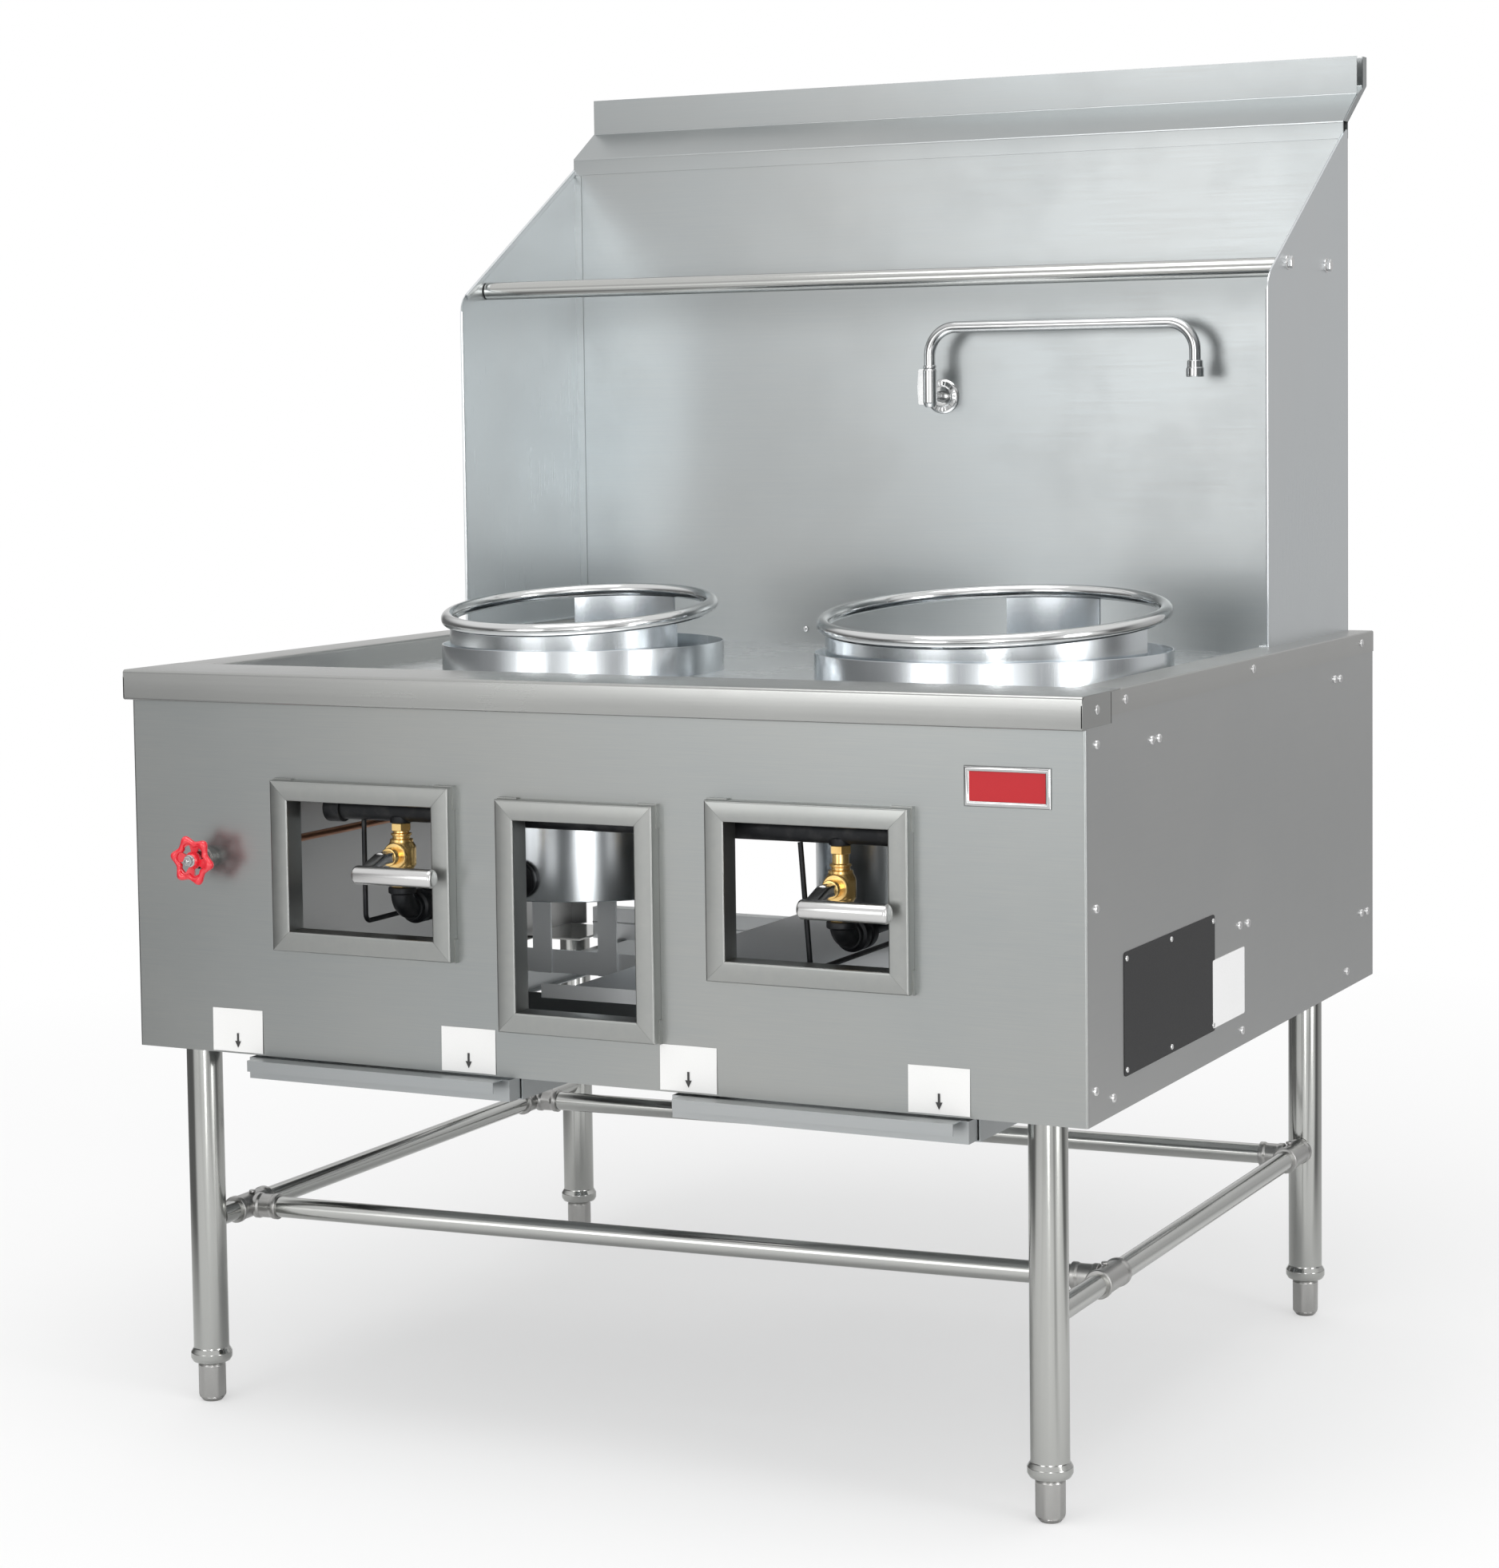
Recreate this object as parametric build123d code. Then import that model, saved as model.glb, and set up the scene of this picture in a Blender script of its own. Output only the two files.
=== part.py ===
"""Two-hole gas wok range on tubular legs, written as one STEP file per separate piece.

Millimetres. X runs to the right, -Y to the front and Z up. While the pieces are made, y = 0 is
the face of the front panel and x = 0 the middle of the cabinet; piece() then moves each one by
Y_SHIFT, so that the origin lies on the floor under the middle of the bounding box.
"""
from build123d import *

import os
from math import cos, radians, sin

os.makedirs("parts", exist_ok=True)

# Driving dimensions
HALF_W = 609.6          # half of the cabinet's width
DEPTH = 1051.0          # front panel to the back of the cabinet
SHEET = 1.5             # stainless sheet
Z_FLOOR = 440.0         # underside of the cabinet
Z_DECK = 865.0          # sunken cooking deck
Z_RIM = 896.0           # top of the rim
LIP = 36.0              # height of the front rim's lip
LIP_OUT = 15.0          # how far the lip stands out in front
LIP_SIDE = 4.0          # and at each end
TAB_BACK = 71.0         # back edge of the lip's end tabs
SIDE_FOLD = 27.0        # height of the side rims' outer fold
FLANGE = 25.0           # inward folds along the sides' bottom and back edges
FRONT_FLANGE = 19.5     # and along the front panel's bottom, clear of the legs
RIM_FRONT = 100.0       # back edge of the front rim
RIM_SIDE = 51.0         # width of the side rims
Y_SPLASH = 1036.0       # face of the backsplash
Z_SPLASH = 1560.0       # top of the backsplash, where the flue cap starts
REAR_Z = 600.0          # lower edge of the rear panel
WING_X = HALF_W - 33.0  # outer face of the side wings
WING_Y = 714.0          # front edge of the wings
LEG_X, LEG_Y = 547.6, (43.0, 952.0)
LEG_R = 21.5
RAIL_R, RAIL_Z = 12.7, 222.0
WHEEL_X, WHEEL_Z, WHEEL_Y = -502.1, 673.9, -35.0
SPOUT_X, SPOUT_Y, SPOUT_Z = 5.4, 990.0, 1305.0
SPOUT_REACH = 382.0
STUB_Z = 1211.0         # height at which the faucet's stub leaves the backsplash
TRAY_W, TRAY_L, TRAY_Z = 357.0, 520.0, (413.0, 438.0)

# Per side: wok centre, chamber and ring; gas valve; tray middle; pilot tube x at the top, x, z and
# y of its run below
SIDES = {
    "left": dict(x=-269.0, y=498.0, r=181.0, ring_y=490.3, ring_r=169.3, tilt=5.55,
                 arcs=((192, 346), (71, 122)), valve=-261.0, valve_z=683.0, tray=-269.1,
                 pilot=(-312.6, -312.6, 601.0, 428.0)),
    "right": dict(x=296.5, y=507.0, r=218.0, ring_y=509.2, ring_r=207.9, tilt=5.15,
                  arcs=((192, 354), (72, 108)), valve=305.7, valve_z=674.5, tray=297.9,
                  pilot=(257.0, 268.0, 578.0, 424.0)),
}
# Window: x from, x to, z from, z to of the clear opening
WINDOWS = {
    "left": (-381.0, -181.2, 592.0, 749.0),
    "centre": (-75.6, 82.4, 517.0, 739.0),
    "right": (191.4, 391.2, 592.5, 749.0),
}
FRAME_W, FRAME_OUT, FRAME_IN = 22.0, 17.0, 13.0

CHAMBER_Z = (590.0, 902.0)
RING_Z, RING_TUBE = 943.6, 8.5
GAS_Y, GAS_Z, GAS_R = 45.0, 735.0, 13.4
INLET_X, INLET_END = 540.0, 1075.0      # gas inlet at the back
BURNER_Z = 618.0
GAS_THREAD = (13.0, 24.0)               # radius and length of the threaded gas inlet
WATER_THREAD = (10.2, 16.0)             # and of the water valve's inlet
BEAM_Y, BEAM_Z = 465.0, 475.0           # beam that carries the burner stands
PLATE_HALF = 43.0                       # half width of a leg's corner plate
PLATE_INNER = 29.0                      # a front plate's reach inwards, clear of the water inlet
BEND = 4.0                              # outside radius of the rim's bends
GRIP_R, GRIP_Y = 11.0, -40.0            # grip of a valve lever and how far it stands out
GRIP_INNER, GRIP_REACH = 10.0, 97.0     # its two ends, left and right of the valve's axis
STEM_R, STEM_FIT = 4.0, 0.06            # turning stems and the play round them
PRESS_FIT = 0.02                        # play between the handwheel and its stem
SPIGOT_R = 6.0                          # lower end of the spout, inside the faucet's body
RAIL_FIT = 0.05                         # play between the lower rails and their tees

# Handwheel: radius of the rim's middle line and its waves, rim wire, lobes, angles, boss, windows
RIM_R, RIM_WAVE, LOBES = 22.3, 2.8, 6
RIM_WIRE, LOBE_R = 3.6, 5.3
LOBE_TURN, WINDOW_TURN = -10.0, 32.0
BOSS_BACK, BOSS_FRONT = -8.5, 5.0
KIDNEY_R, KIDNEY_W, KIDNEY_ARC = 13.7, 6.4, 46.0
NUT_OUT = 13.0                          # wheel's plane to the tip of its nut

Y_FRONT = GRIP_Y - GRIP_R               # foremost point: the grips
Y_CAP = 1137.5                          # rearmost point: the back of the flue cap
Y_SHIFT = -(Y_FRONT + Y_CAP) / 2


def piece(name, *solids):
    """Write one piece, moved into the part's own frame."""
    body = solids[0] if len(solids) == 1 else Compound(children=list(solids))
    body = Pos(0, Y_SHIFT, 0) * body
    body.label = name
    export_step(body, f"parts/{name}.step")


def block(x0, x1, y0, y1, z0, z1):
    """Box between two corners."""
    size = (abs(x1 - x0), abs(y1 - y0), z1 - z0)
    return Pos(min(x0, x1), min(y0, y1), z0) * Box(*size, align=(Align.MIN,) * 3)


def rod(a, b, r, bore=0):
    """Round bar or tube between two points."""
    a, b = Vector(*a), Vector(*b)
    plane = Plane(origin=a, z_dir=b - a)
    ring = Circle(r) - Circle(bore) if bore else Circle(r)
    return extrude(plane * ring, (b - a).length)


def tube_path(points, r, bend, bore=0):
    """Tube swept along straight runs joined by bends."""
    path = FilletPolyline(*points, radius=bend)
    start = Plane(origin=path @ 0, z_dir=path % 0)
    body = sweep(start * Circle(r), path=path)
    return body - sweep(start * Circle(bore), path=path) if bore else body


def turned(x, y, outline):
    """Solid of revolution about a vertical axis from (radius, z) points."""
    profile = make_face(Polyline(*[(r, 0, z) for r, z in outline], close=True))
    return Pos(x, y, 0) * revolve(profile, Axis.Z)


def yz_bar(x0, x1, outline):
    """Prism along x from (y, z) points."""
    face = make_face(Polyline(*[(x0, y, z) for y, z in outline], close=True))
    return extrude(face, abs(x1 - x0), dir=(1, 0, 0))


def xz_bar(y0, y1, outline):
    """Prism along y from (x, z) points."""
    face = make_face(Polyline(*[(x, y0, z) for x, z in outline], close=True))
    return extrude(face, y1 - y0, dir=(0, 1, 0))


def bent(bar, *corners):
    """The folded bar with bends at (y, z) or (x, z) corners of its outline; each has its radius."""
    for axis, first, z, radius in corners:
        edges = bar.edges().filter_by(Axis.X if axis == Axis.Y else Axis.Y)
        edges = edges.filter_by_position(axis, first - 0.1, first + 0.1)
        bar = fillet(edges.filter_by_position(Axis.Z, z - 0.1, z + 0.1), radius)
    return bar


def mirrored(sign, outline):
    """The outline as it is for the right-hand side, mirrored for the left."""
    return [(sign * x, z) for x, z in outline]


# Cabinet: front panel with its three windows and the hole of the water valve
inner = HALF_W - SHEET
panel = block(-HALF_W, HALF_W, 0, SHEET, Z_FLOOR, Z_RIM - SHEET)
bottom = (Z_FLOOR, Z_FLOOR + SHEET)
panel += block(-inner + 30, inner - 30, SHEET, SHEET + FRONT_FLANGE, *bottom)
for x0, x1, z0, z1 in WINDOWS.values():
    panel -= block(x0 - SHEET, x1 + SHEET, -1, 3, z0 - SHEET, z1 + SHEET)
panel -= rod((WHEEL_X, -1, WHEEL_Z), (WHEEL_X, 3, WHEEL_Z), 12.5)
piece("front_panel", panel)

# Side panels with folded edges along the bottom and the back
for side, sign in (("left", -1), ("right", 1)):
    wall = block(sign * inner, sign * HALF_W, SHEET, DEPTH, Z_FLOOR, Z_RIM - SHEET)
    wall += block(sign * (inner - FLANGE), sign * inner, SHEET, DEPTH, *bottom)
    wall += block(sign * (inner - FLANGE), sign * inner, DEPTH - SHEET, DEPTH, bottom[1], REAR_Z - 2)
    piece(f"{side}_side_panel", wall)

# Rear panel, open low down, with ears beside the riser and a hole for the gas inlet
rear = xz_bar(DEPTH - SHEET, DEPTH, [
    (-inner, REAR_Z), (inner, REAR_Z), (inner, Z_RIM - SHEET), (WING_X + 0.2, Z_RIM - SHEET),
    (WING_X + 0.2, Z_DECK - 2), (-WING_X - 0.2, Z_DECK - 2), (-WING_X - 0.2, Z_RIM - SHEET),
    (-inner, Z_RIM - SHEET)])
rear -= rod((INLET_X, DEPTH - 3, GAS_Z), (INLET_X, DEPTH + 2, GAS_Z), 16)
piece("rear_panel", rear)

# Sunken deck with the two chamber holes and the slot into the riser
deck = block(-inner, inner, SHEET, DEPTH - SHEET, Z_DECK - 2, Z_DECK)
for s in SIDES.values():
    deck -= Pos(s["x"], s["y"], Z_DECK - 1) * Cylinder(s["r"] + 0.3, 6)
deck -= block(-540, 540, Y_SPLASH + 2, DEPTH - 2, Z_DECK - 4, Z_DECK + 2)
piece("cooktop_deck", deck)

# Rims: each sheet folds down outside to a lip and inside to the deck
end = HALF_W + LIP_SIDE
rim = bent(yz_bar(-end, end, [
    (-LIP_OUT, Z_RIM - LIP), (0, Z_RIM - LIP), (0, Z_RIM - LIP + SHEET),
    (-LIP_OUT + SHEET, Z_RIM - LIP + SHEET), (-LIP_OUT + SHEET, Z_RIM - SHEET),
    (TAB_BACK, Z_RIM - SHEET), (TAB_BACK, Z_RIM), (-LIP_OUT, Z_RIM)]),
    (Axis.Y, -LIP_OUT, Z_RIM, BEND), (Axis.Y, -LIP_OUT + SHEET, Z_RIM - SHEET, BEND - SHEET))
rim += block(-HALF_W - SHEET, HALF_W + SHEET, TAB_BACK, RIM_FRONT, Z_RIM - SHEET, Z_RIM)
rim += block(-HALF_W + RIM_SIDE, HALF_W - RIM_SIDE, RIM_FRONT - SHEET, RIM_FRONT, Z_DECK, Z_RIM - SHEET)
for sign in (-1, 1):
    tab_x = (sign * (end - SHEET), sign * end)
    rim += block(*tab_x, -LIP_OUT + SHEET, TAB_BACK, Z_RIM - LIP + 1, Z_RIM - BEND)
    tab_x = (sign * (HALF_W + SHEET), sign * end)
    rim += block(*tab_x, TAB_BACK - SHEET, TAB_BACK, Z_RIM - LIP + 1, Z_RIM - SHEET)
piece("front_rim", rim)
for side, sign in (("left", -1), ("right", 1)):
    out, into = HALF_W + SHEET, HALF_W - RIM_SIDE
    fold = mirrored(sign, [
        (out, Z_RIM - SIDE_FOLD), (out, Z_RIM), (into, Z_RIM), (into, Z_DECK),
        (into + SHEET, Z_DECK), (into + SHEET, Z_RIM - SHEET), (HALF_W, Z_RIM - SHEET),
        (HALF_W, Z_RIM - SIDE_FOLD)])
    top = bent(xz_bar(RIM_FRONT, DEPTH - SHEET, fold), (Axis.X, sign * into, Z_RIM, BEND),
               (Axis.X, sign * (into + SHEET), Z_RIM - SHEET, BEND - SHEET))
    fold_x = (sign * HALF_W, sign * out)
    top += block(*fold_x, TAB_BACK, RIM_FRONT, Z_RIM - SIDE_FOLD, Z_RIM - SHEET)
    piece(f"{side}_rim", top)

# Backsplash and the back of the flue riser
low = HALF_W - RIM_SIDE - 0.2
step = [(-low, Z_DECK), (low, Z_DECK), (low, Z_RIM), (WING_X - SHEET, Z_RIM),
        (WING_X - SHEET, Z_SPLASH), (-WING_X + SHEET, Z_SPLASH), (-WING_X + SHEET, Z_RIM), (-low, Z_RIM)]
splash = xz_bar(Y_SPLASH, Y_SPLASH + SHEET, step)
splash -= rod((SPOUT_X, Y_SPLASH - 1, STUB_Z), (SPOUT_X, Y_SPLASH + 3, STUB_Z), 8)
piece("backsplash_panel", splash)
piece("riser_back_panel", block(-WING_X, WING_X, DEPTH - SHEET, DEPTH, Z_DECK - 2, Z_SPLASH))

# Flue cap: two bent sheets that lead the hot air up and back
half_cap = WING_X - SHEET
front_sheet = [(Y_SPLASH - SHEET, 1539), (Y_SPLASH, 1539), (Y_SPLASH, 1560.4), (1098.5, 1601.2),
               (1098.5, 1651), (1097, 1651), (1097, 1602), (Y_SPLASH - SHEET, 1561.2)]
piece("flue_cap_front", yz_bar(-half_cap, half_cap, front_sheet))
back_sheet = [(DEPTH, 1540), (DEPTH + SHEET, 1540), (DEPTH + SHEET, 1561.2), (Y_CAP, 1614.2),
              (Y_CAP, 1652), (Y_CAP - SHEET, 1652), (Y_CAP - SHEET, 1615.1), (DEPTH, 1562)]
hood = yz_bar(-WING_X, WING_X, back_sheet)
cheek = [(Y_SPLASH, 1561.5), (DEPTH, 1561.5), (Y_CAP - SHEET, 1615.1), (Y_CAP - SHEET, 1652),
         (Y_CAP - 17, 1652), (Y_CAP - 17, 1611), (1098.6, 1602)]
for x in (-WING_X, WING_X - SHEET):
    hood += yz_bar(x, x + SHEET, cheek)
piece("flue_cap_back", hood)


# Side wings: cut to a slanted outline, hemmed, with a foot flange on the rim
def wing_outline(inset):
    """Wing outline in the YZ plane, drawn in by inset along the front and slanted edges."""
    line = Polyline((WING_Y + inset, Z_RIM), (WING_Y + inset, 1351 - inset * 0.56),
                    (1042, 1551 - inset * 1.17), (DEPTH - SHEET, 1551 - inset * 1.17),
                    (DEPTH - SHEET, Z_RIM), close=True)
    face = make_face(Plane.YZ * line)
    corner = face.vertices().sort_by(Axis.Y)[:2].sort_by(Axis.Z)[-1]
    return fillet(corner, 26 - inset)


for side, sign in (("left", -1), ("right", 1)):
    face = wing_outline(0)
    hem = extrude(face, 3.2, dir=(1, 0, 0)) - extrude(wing_outline(8), 3.2, dir=(1, 0, 0))
    sheet = extrude(face, SHEET, dir=(1, 0, 0))
    if sign > 0:
        plate = Pos(WING_X - SHEET, 0, 0) * sheet + Pos(WING_X - 3.2, 0, 0) * hem
    else:
        plate = Pos(-WING_X, 0, 0) * sheet + Pos(-WING_X, 0, 0) * hem
    plate -= block(sign * (WING_X - 5), sign * (WING_X - SHEET), Y_SPLASH - SHEET, DEPTH, 890, 1570)
    foot_x = (sign * (WING_X - 14), sign * (WING_X - SHEET))
    plate += block(*foot_x, WING_Y + 6, Y_SPLASH, Z_RIM, Z_RIM + SHEET)
    piece(f"{side}_wing", plate)
piece("utensil_rail", rod((-WING_X + 3.2, 785, 1365), (WING_X - 3.2, 785, 1365), 12, 10.5))

# Window frames: a folded channel round each opening with a short tunnel inwards
for side, (x0, x1, z0, z1) in WINDOWS.items():
    fw, s = FRAME_W, SHEET
    frame = block(x0 - fw, x1 + fw, -FRAME_OUT, 0, z0 - fw, z1 + fw)
    frame -= block(x0 - fw + s, x1 + fw - s, -FRAME_OUT + s, 0, z0 - fw + s, z1 + fw - s)
    frame += block(x0 - s, x1 + s, -FRAME_OUT, FRAME_IN, z0 - s, z1 + s)
    frame -= block(x0, x1, -FRAME_OUT, FRAME_IN, z0, z1)
    for x, way in ((x0 - fw, 1), (x1 + fw, -1)):
        for z, up in ((z0 - fw, 1), (z1 + fw, -1)):
            frame += block(x - way * s, x, -7, 0, min(z, z + up * 26), max(z, z + up * 26))
            frame += block(x - way * s, x + way * 24, -7, 0, min(z, z - up * s), max(z, z - up * s))
    piece(f"window_frame_{side}", frame)


# Wok chambers: rolled shell with a bottom flange, burner hole and rests for the ring
def arc_wall(r_out, r_in, z0, z1, a0, a1):
    """Curved wall between two angles in degrees."""
    wall = Plane.XY.offset(z0) * (Circle(r_out) - Circle(r_in))
    wedge = Polyline((0, 0), *[(2 * r_out * cos(radians(a0 + (a1 - a0) * k / 8)),
                                2 * r_out * sin(radians(a0 + (a1 - a0) * k / 8)))
                               for k in range(9)], close=True)
    return extrude(wall, z1 - z0) & extrude(Plane.XY.offset(z0) * make_face(wedge), z1 - z0)


for side, s in SIDES.items():
    r, base, top = s["r"], *CHAMBER_Z
    shell = turned(s["x"], s["y"], [
        (r - 25, base), (r, base), (r, top), (r - 2, top), (r - 2, base + 2), (r - 25, base + 2)])
    valve_x = s["valve"]
    shell -= rod((valve_x, s["y"] - r - 5, BURNER_Z), (valve_x, s["y"], BURNER_Z), 25)
    pilot_x, pilot_z = s["pilot"][1], s["pilot"][2]
    shell -= rod((pilot_x, s["y"] - r - 5, pilot_z), (pilot_x, s["y"], pilot_z), 5)
    for angle in (225, 270, 315, 90):
        rest = Pos(s["x"], s["y"], 0) * Rot(0, 0, angle) * block(r - 22, r - 1.5, -9, 9, 868, 871)
        shell += rest
    piece(f"chamber_{side}", shell)

# Wok rings: round tube tilted to the front on curved bands that stand inside the chamber
for side, s in SIDES.items():
    tilt = Pos(s["x"], s["ring_y"], RING_Z) * Rot(s["tilt"], 0, 0)
    ring = tilt * Torus(s["ring_r"], RING_TUBE)
    r = s["ring_r"] - 2.5
    under = tilt * Pos(0, 0, -150) * Box(700, 700, 300)
    for a0, a1 in s["arcs"]:
        band = Pos(s["x"], s["ring_y"] + 1, 0) * arc_wall(r, r - 2, 871.2, 990, a0, a1)
        ring += band & under
    piece(f"wok_ring_{side}", ring)

# Burners: cast pan with two rings of jets, fed through a bell-mouthed mixing tube
for side, s in SIDES.items():
    x, y, vx = s["x"], s["y"], s["valve"]
    mouth_y = y - s["r"] - 12
    pan = turned(x, y, [(0, 672), (62, 676), (72, 690), (72, 706), (66, 706), (62, 700), (0, 700)])
    pan += rod((x, y, 600), (x, y, 675), 22)
    pan += rod((vx, mouth_y, BURNER_Z), (vx, mouth_y + 5, BURNER_Z), 24)
    pan += extrude(Plane(origin=(vx, mouth_y + 5, BURNER_Z), z_dir=(0, 1, 0)) * Circle(24), 20, taper=18)
    pan += rod((vx, mouth_y + 5, BURNER_Z), (vx, y, BURNER_Z), 17)
    for count, radius in ((6, 24), (12, 48)):
        for k in range(count):
            a = radians(360 * k / count)
            at = (x + radius * cos(a), y + radius * sin(a))
            pan += turned(*at, [(0, 698), (6.5, 698), (6.5, 712), (3.5, 722), (0, 722)])
    pan -= rod((vx, mouth_y - 1, BURNER_Z), (vx, mouth_y + 60, BURNER_Z), 14)
    piece(f"burner_{side}", pan)

# Burner stands: two straps under each pan, standing on a beam across the cabinet
stands = []
for s in SIDES.values():
    for dx in (-48, 48):
        stands.append(block(s["x"] + dx - 13.5, s["x"] + dx + 13.5, BEAM_Y - 3, BEAM_Y, BEAM_Z, 673))
piece("burner_stands", *stands)
angle = [(BEAM_Y, BEAM_Z), (BEAM_Y + 30, BEAM_Z), (BEAM_Y + 30, BEAM_Z + 3), (BEAM_Y + 3, BEAM_Z + 3),
         (BEAM_Y + 3, BEAM_Z + 30), (BEAM_Y, BEAM_Z + 30)]
channel = [(930, 440), (952, 440), (952, 442), (932, 442), (932, 483), (952, 483), (952, 485),
           (930, 485), (930, 465), (928.5, 463.5), (930, 462)]
plate_edge = LEG_X - PLATE_HALF
piece("cross_beams", yz_bar(-inner, inner, angle), yz_bar(-plate_edge, plate_edge, channel))

# Heat baffle: shallow pan under the right-hand burner with slots for the straps
pan = block(-137, inner, 150, 900, 505, 506.5) + block(-137, inner, 150, 151.5, 506.5, 522)
for dx in (-48, 48):
    x = SIDES["right"]["x"] + dx
    pan -= block(x - 15, x + 15, BEAM_Y - 5, BEAM_Y + 1, 500, 510)
piece("heat_baffle", pan)

# Gas manifold: pipe behind the windows with a socket over each valve, back to the inlet
thread_r, thread_long = GAS_THREAD
run = [(-345, GAS_Y, GAS_Z), (INLET_X, GAS_Y, GAS_Z), (INLET_X, INLET_END - thread_long, GAS_Z)]
pipe = tube_path(run, GAS_R, 30, 10) + rod(run[-1], (INLET_X, INLET_END, GAS_Z), thread_r, 10)
pipe += rod((-360, GAS_Y, GAS_Z), (-338, GAS_Y, GAS_Z), 17)
SOCKET_Z = 720.5
for s in SIDES.values():
    pipe += rod((s["valve"], GAS_Y, SOCKET_Z), (s["valve"], GAS_Y, GAS_Z - 10), 13)
piece("gas_manifold", pipe)

# Gas valves and their levers, which turn about the stem from level (shut) to hanging (open)
for side, s in SIDES.items():
    x, z = s["valve"], s["valve_z"]
    body = turned(x, GAS_Y, [
        (0, z - 38), (9.8, z - 38), (9.8, z - 19), (14, z - 17), (17, z - 9), (17, z + 9), (15, z + 14),
        (9, z + 17), (9, 713), (0, 713)])
    body += extrude(Pos(x, GAS_Y, 713) * RegularPolygon(11.5, 6), SOCKET_Z - 713)
    body += rod((x, GAS_Y - 8, z), (x, 15, z), 13) + rod((x, 33, z), (x, 28, z), 15.5)
    body -= rod((x, 42, z), (x, 10, z), STEM_R + STEM_FIT)
    piece(f"gas_valve_{side}", body)
    arm = yz_bar(x - 8, x + 8, [(14.5, z - 7), (14.5, z + 7), (-2, z + 7), (GRIP_Y, z - 6),
                                (GRIP_Y, z - 21), (-30, z - 21), (-4, z - 8)])
    grip = rod((x - GRIP_INNER, GRIP_Y, z - 13.5), (x + GRIP_REACH, GRIP_Y, z - 13.5), GRIP_R)
    grip = fillet(grip.edges().filter_by(GeomType.CIRCLE), 4.5)
    piece(f"valve_lever_{side}", arm + grip + rod((x, 10, z), (x, 40, z), STEM_R))

    # Burner pipe: iron elbow, ribbed coupling and the pipe that blows into the bell
    mouth_y = s["y"] - s["r"] - 12
    low = [(x, GAS_Y, z - 38), (x, GAS_Y, BURNER_Z), (x, mouth_y - 2, BURNER_Z)]
    feed = tube_path(low, 9, 16)
    feed += tube_path([low[0], low[1], (x, 80, BURNER_Z)], 14, 18)
    feed += rod(low[0], (x, GAS_Y, z - 45), 16) + rod((x, 62, BURNER_Z), (x, 68, BURNER_Z), 16)
    for y0, y1, r in ((68, 82, 20), (82, 88, 17.5), (88, 102, 20), (102, 108, 16)):
        feed += rod((x, y0, BURNER_Z), (x, y1, BURNER_Z), r)
    piece(f"burner_pipe_{side}", feed)
    top_x, low_x, low_z, end_y = s["pilot"]
    thin = [(top_x, GAS_Y, GAS_Z - GAS_R - 0.5), (low_x, GAS_Y, low_z), (low_x, end_y, low_z),
            (low_x, end_y, 724)]
    piece(f"pilot_tube_{side}", tube_path(thin, 3, 9))

# Water valve with its turning stem, handwheel and nut
x, z = WHEEL_X, WHEEL_Z
thread_r, thread_long = WATER_THREAD
valve = turned(x, GAS_Y, [
    (0, 452), (thread_r, 452), (thread_r, 452 + thread_long), (10.5, 452 + thread_long), (10.5, 640),
    (15, 643), (15, 650), (19, 656), (19, 686), (12, 694), (0, 694)])
valve += rod((x, GAS_Y, z), (x, -14, z), 12) + rod((x, GAS_Y, z), (x, 76, z), 12)
valve += extrude(Plane(origin=(x, -14, z), z_dir=(0, -1, 0)) * RegularPolygon(12.5, 6), 12)
valve -= rod((x, 12, z), (x, -30, z), STEM_R + STEM_FIT)
piece("water_valve", valve)
shoulder, tip = WHEEL_Y - BOSS_FRONT, WHEEL_Y - NUT_OUT
stem = rod((x, 8, z), (x, shoulder, z), STEM_R)
piece("water_stem", stem + rod((x, shoulder, z), (x, tip + 2, z), 2.5))
nut = extrude(Plane(origin=(x, shoulder, z), z_dir=(0, -1, 0)) * RegularPolygon(6.2, 6), 6)
nut += rod((x, tip + 2, z), (x, tip, z), 4)
piece("handwheel_nut", nut - rod((x, shoulder + 1, z), (x, tip + 2, z), 2.5))

# Handwheel: six-lobed rim swept along a wavy closed curve, dished web with four windows
wheel = Plane(origin=(x, WHEEL_Y, z), z_dir=(0, -1, 0), x_dir=(1, 0, 0))
wave = [(RIM_R + RIM_WAVE * cos(radians(LOBES * a)), a) for a in range(0, 360, 10)]
curve = Spline(*[Vector(r, 0).rotate(Axis.Z, a) for r, a in wave], periodic=True)
rim = sweep(Plane(origin=curve @ 0, z_dir=curve % 0) * Circle(RIM_WIRE), path=curve)
for k in range(LOBES):
    rim += Rot(0, 0, 360 * k / LOBES) * Pos(RIM_R + RIM_WAVE, 0, 0) * Sphere(LOBE_R)
bore = STEM_R + PRESS_FIT
web = revolve(make_face(Polyline(
    (bore, 0, BOSS_BACK), (8.6, 0, BOSS_BACK), (9.8, 0, -2.5), (20, 0, -1.5), (20, 0, 1.5),
    (9.3, 0, 1.2), (8.2, 0, BOSS_FRONT), (bore, 0, BOSS_FRONT), close=True)), Axis.Z)
for k in range(4):
    start = WINDOW_TURN + 90 * k - KIDNEY_ARC / 2
    kidney = SlotArc(CenterArc((0, 0), KIDNEY_R, start, KIDNEY_ARC), KIDNEY_W)
    web -= extrude(Pos(0, 0, -8) * kidney, 16)
piece("handwheel", wheel * (Rot(0, 0, LOBE_TURN) * rim + web))

# Water pipe along the cabinet's left and back, then up inside the riser to the faucet
y_pipe = (Y_SPLASH + SHEET + DEPTH - SHEET) / 2
piece("water_pipe", tube_path([(WHEEL_X, 76, WHEEL_Z), (WHEEL_X, y_pipe, WHEEL_Z),
                               (SPOUT_X, y_pipe, WHEEL_Z), (SPOUT_X, y_pipe, STUB_Z)], 4.75, 20))

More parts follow.
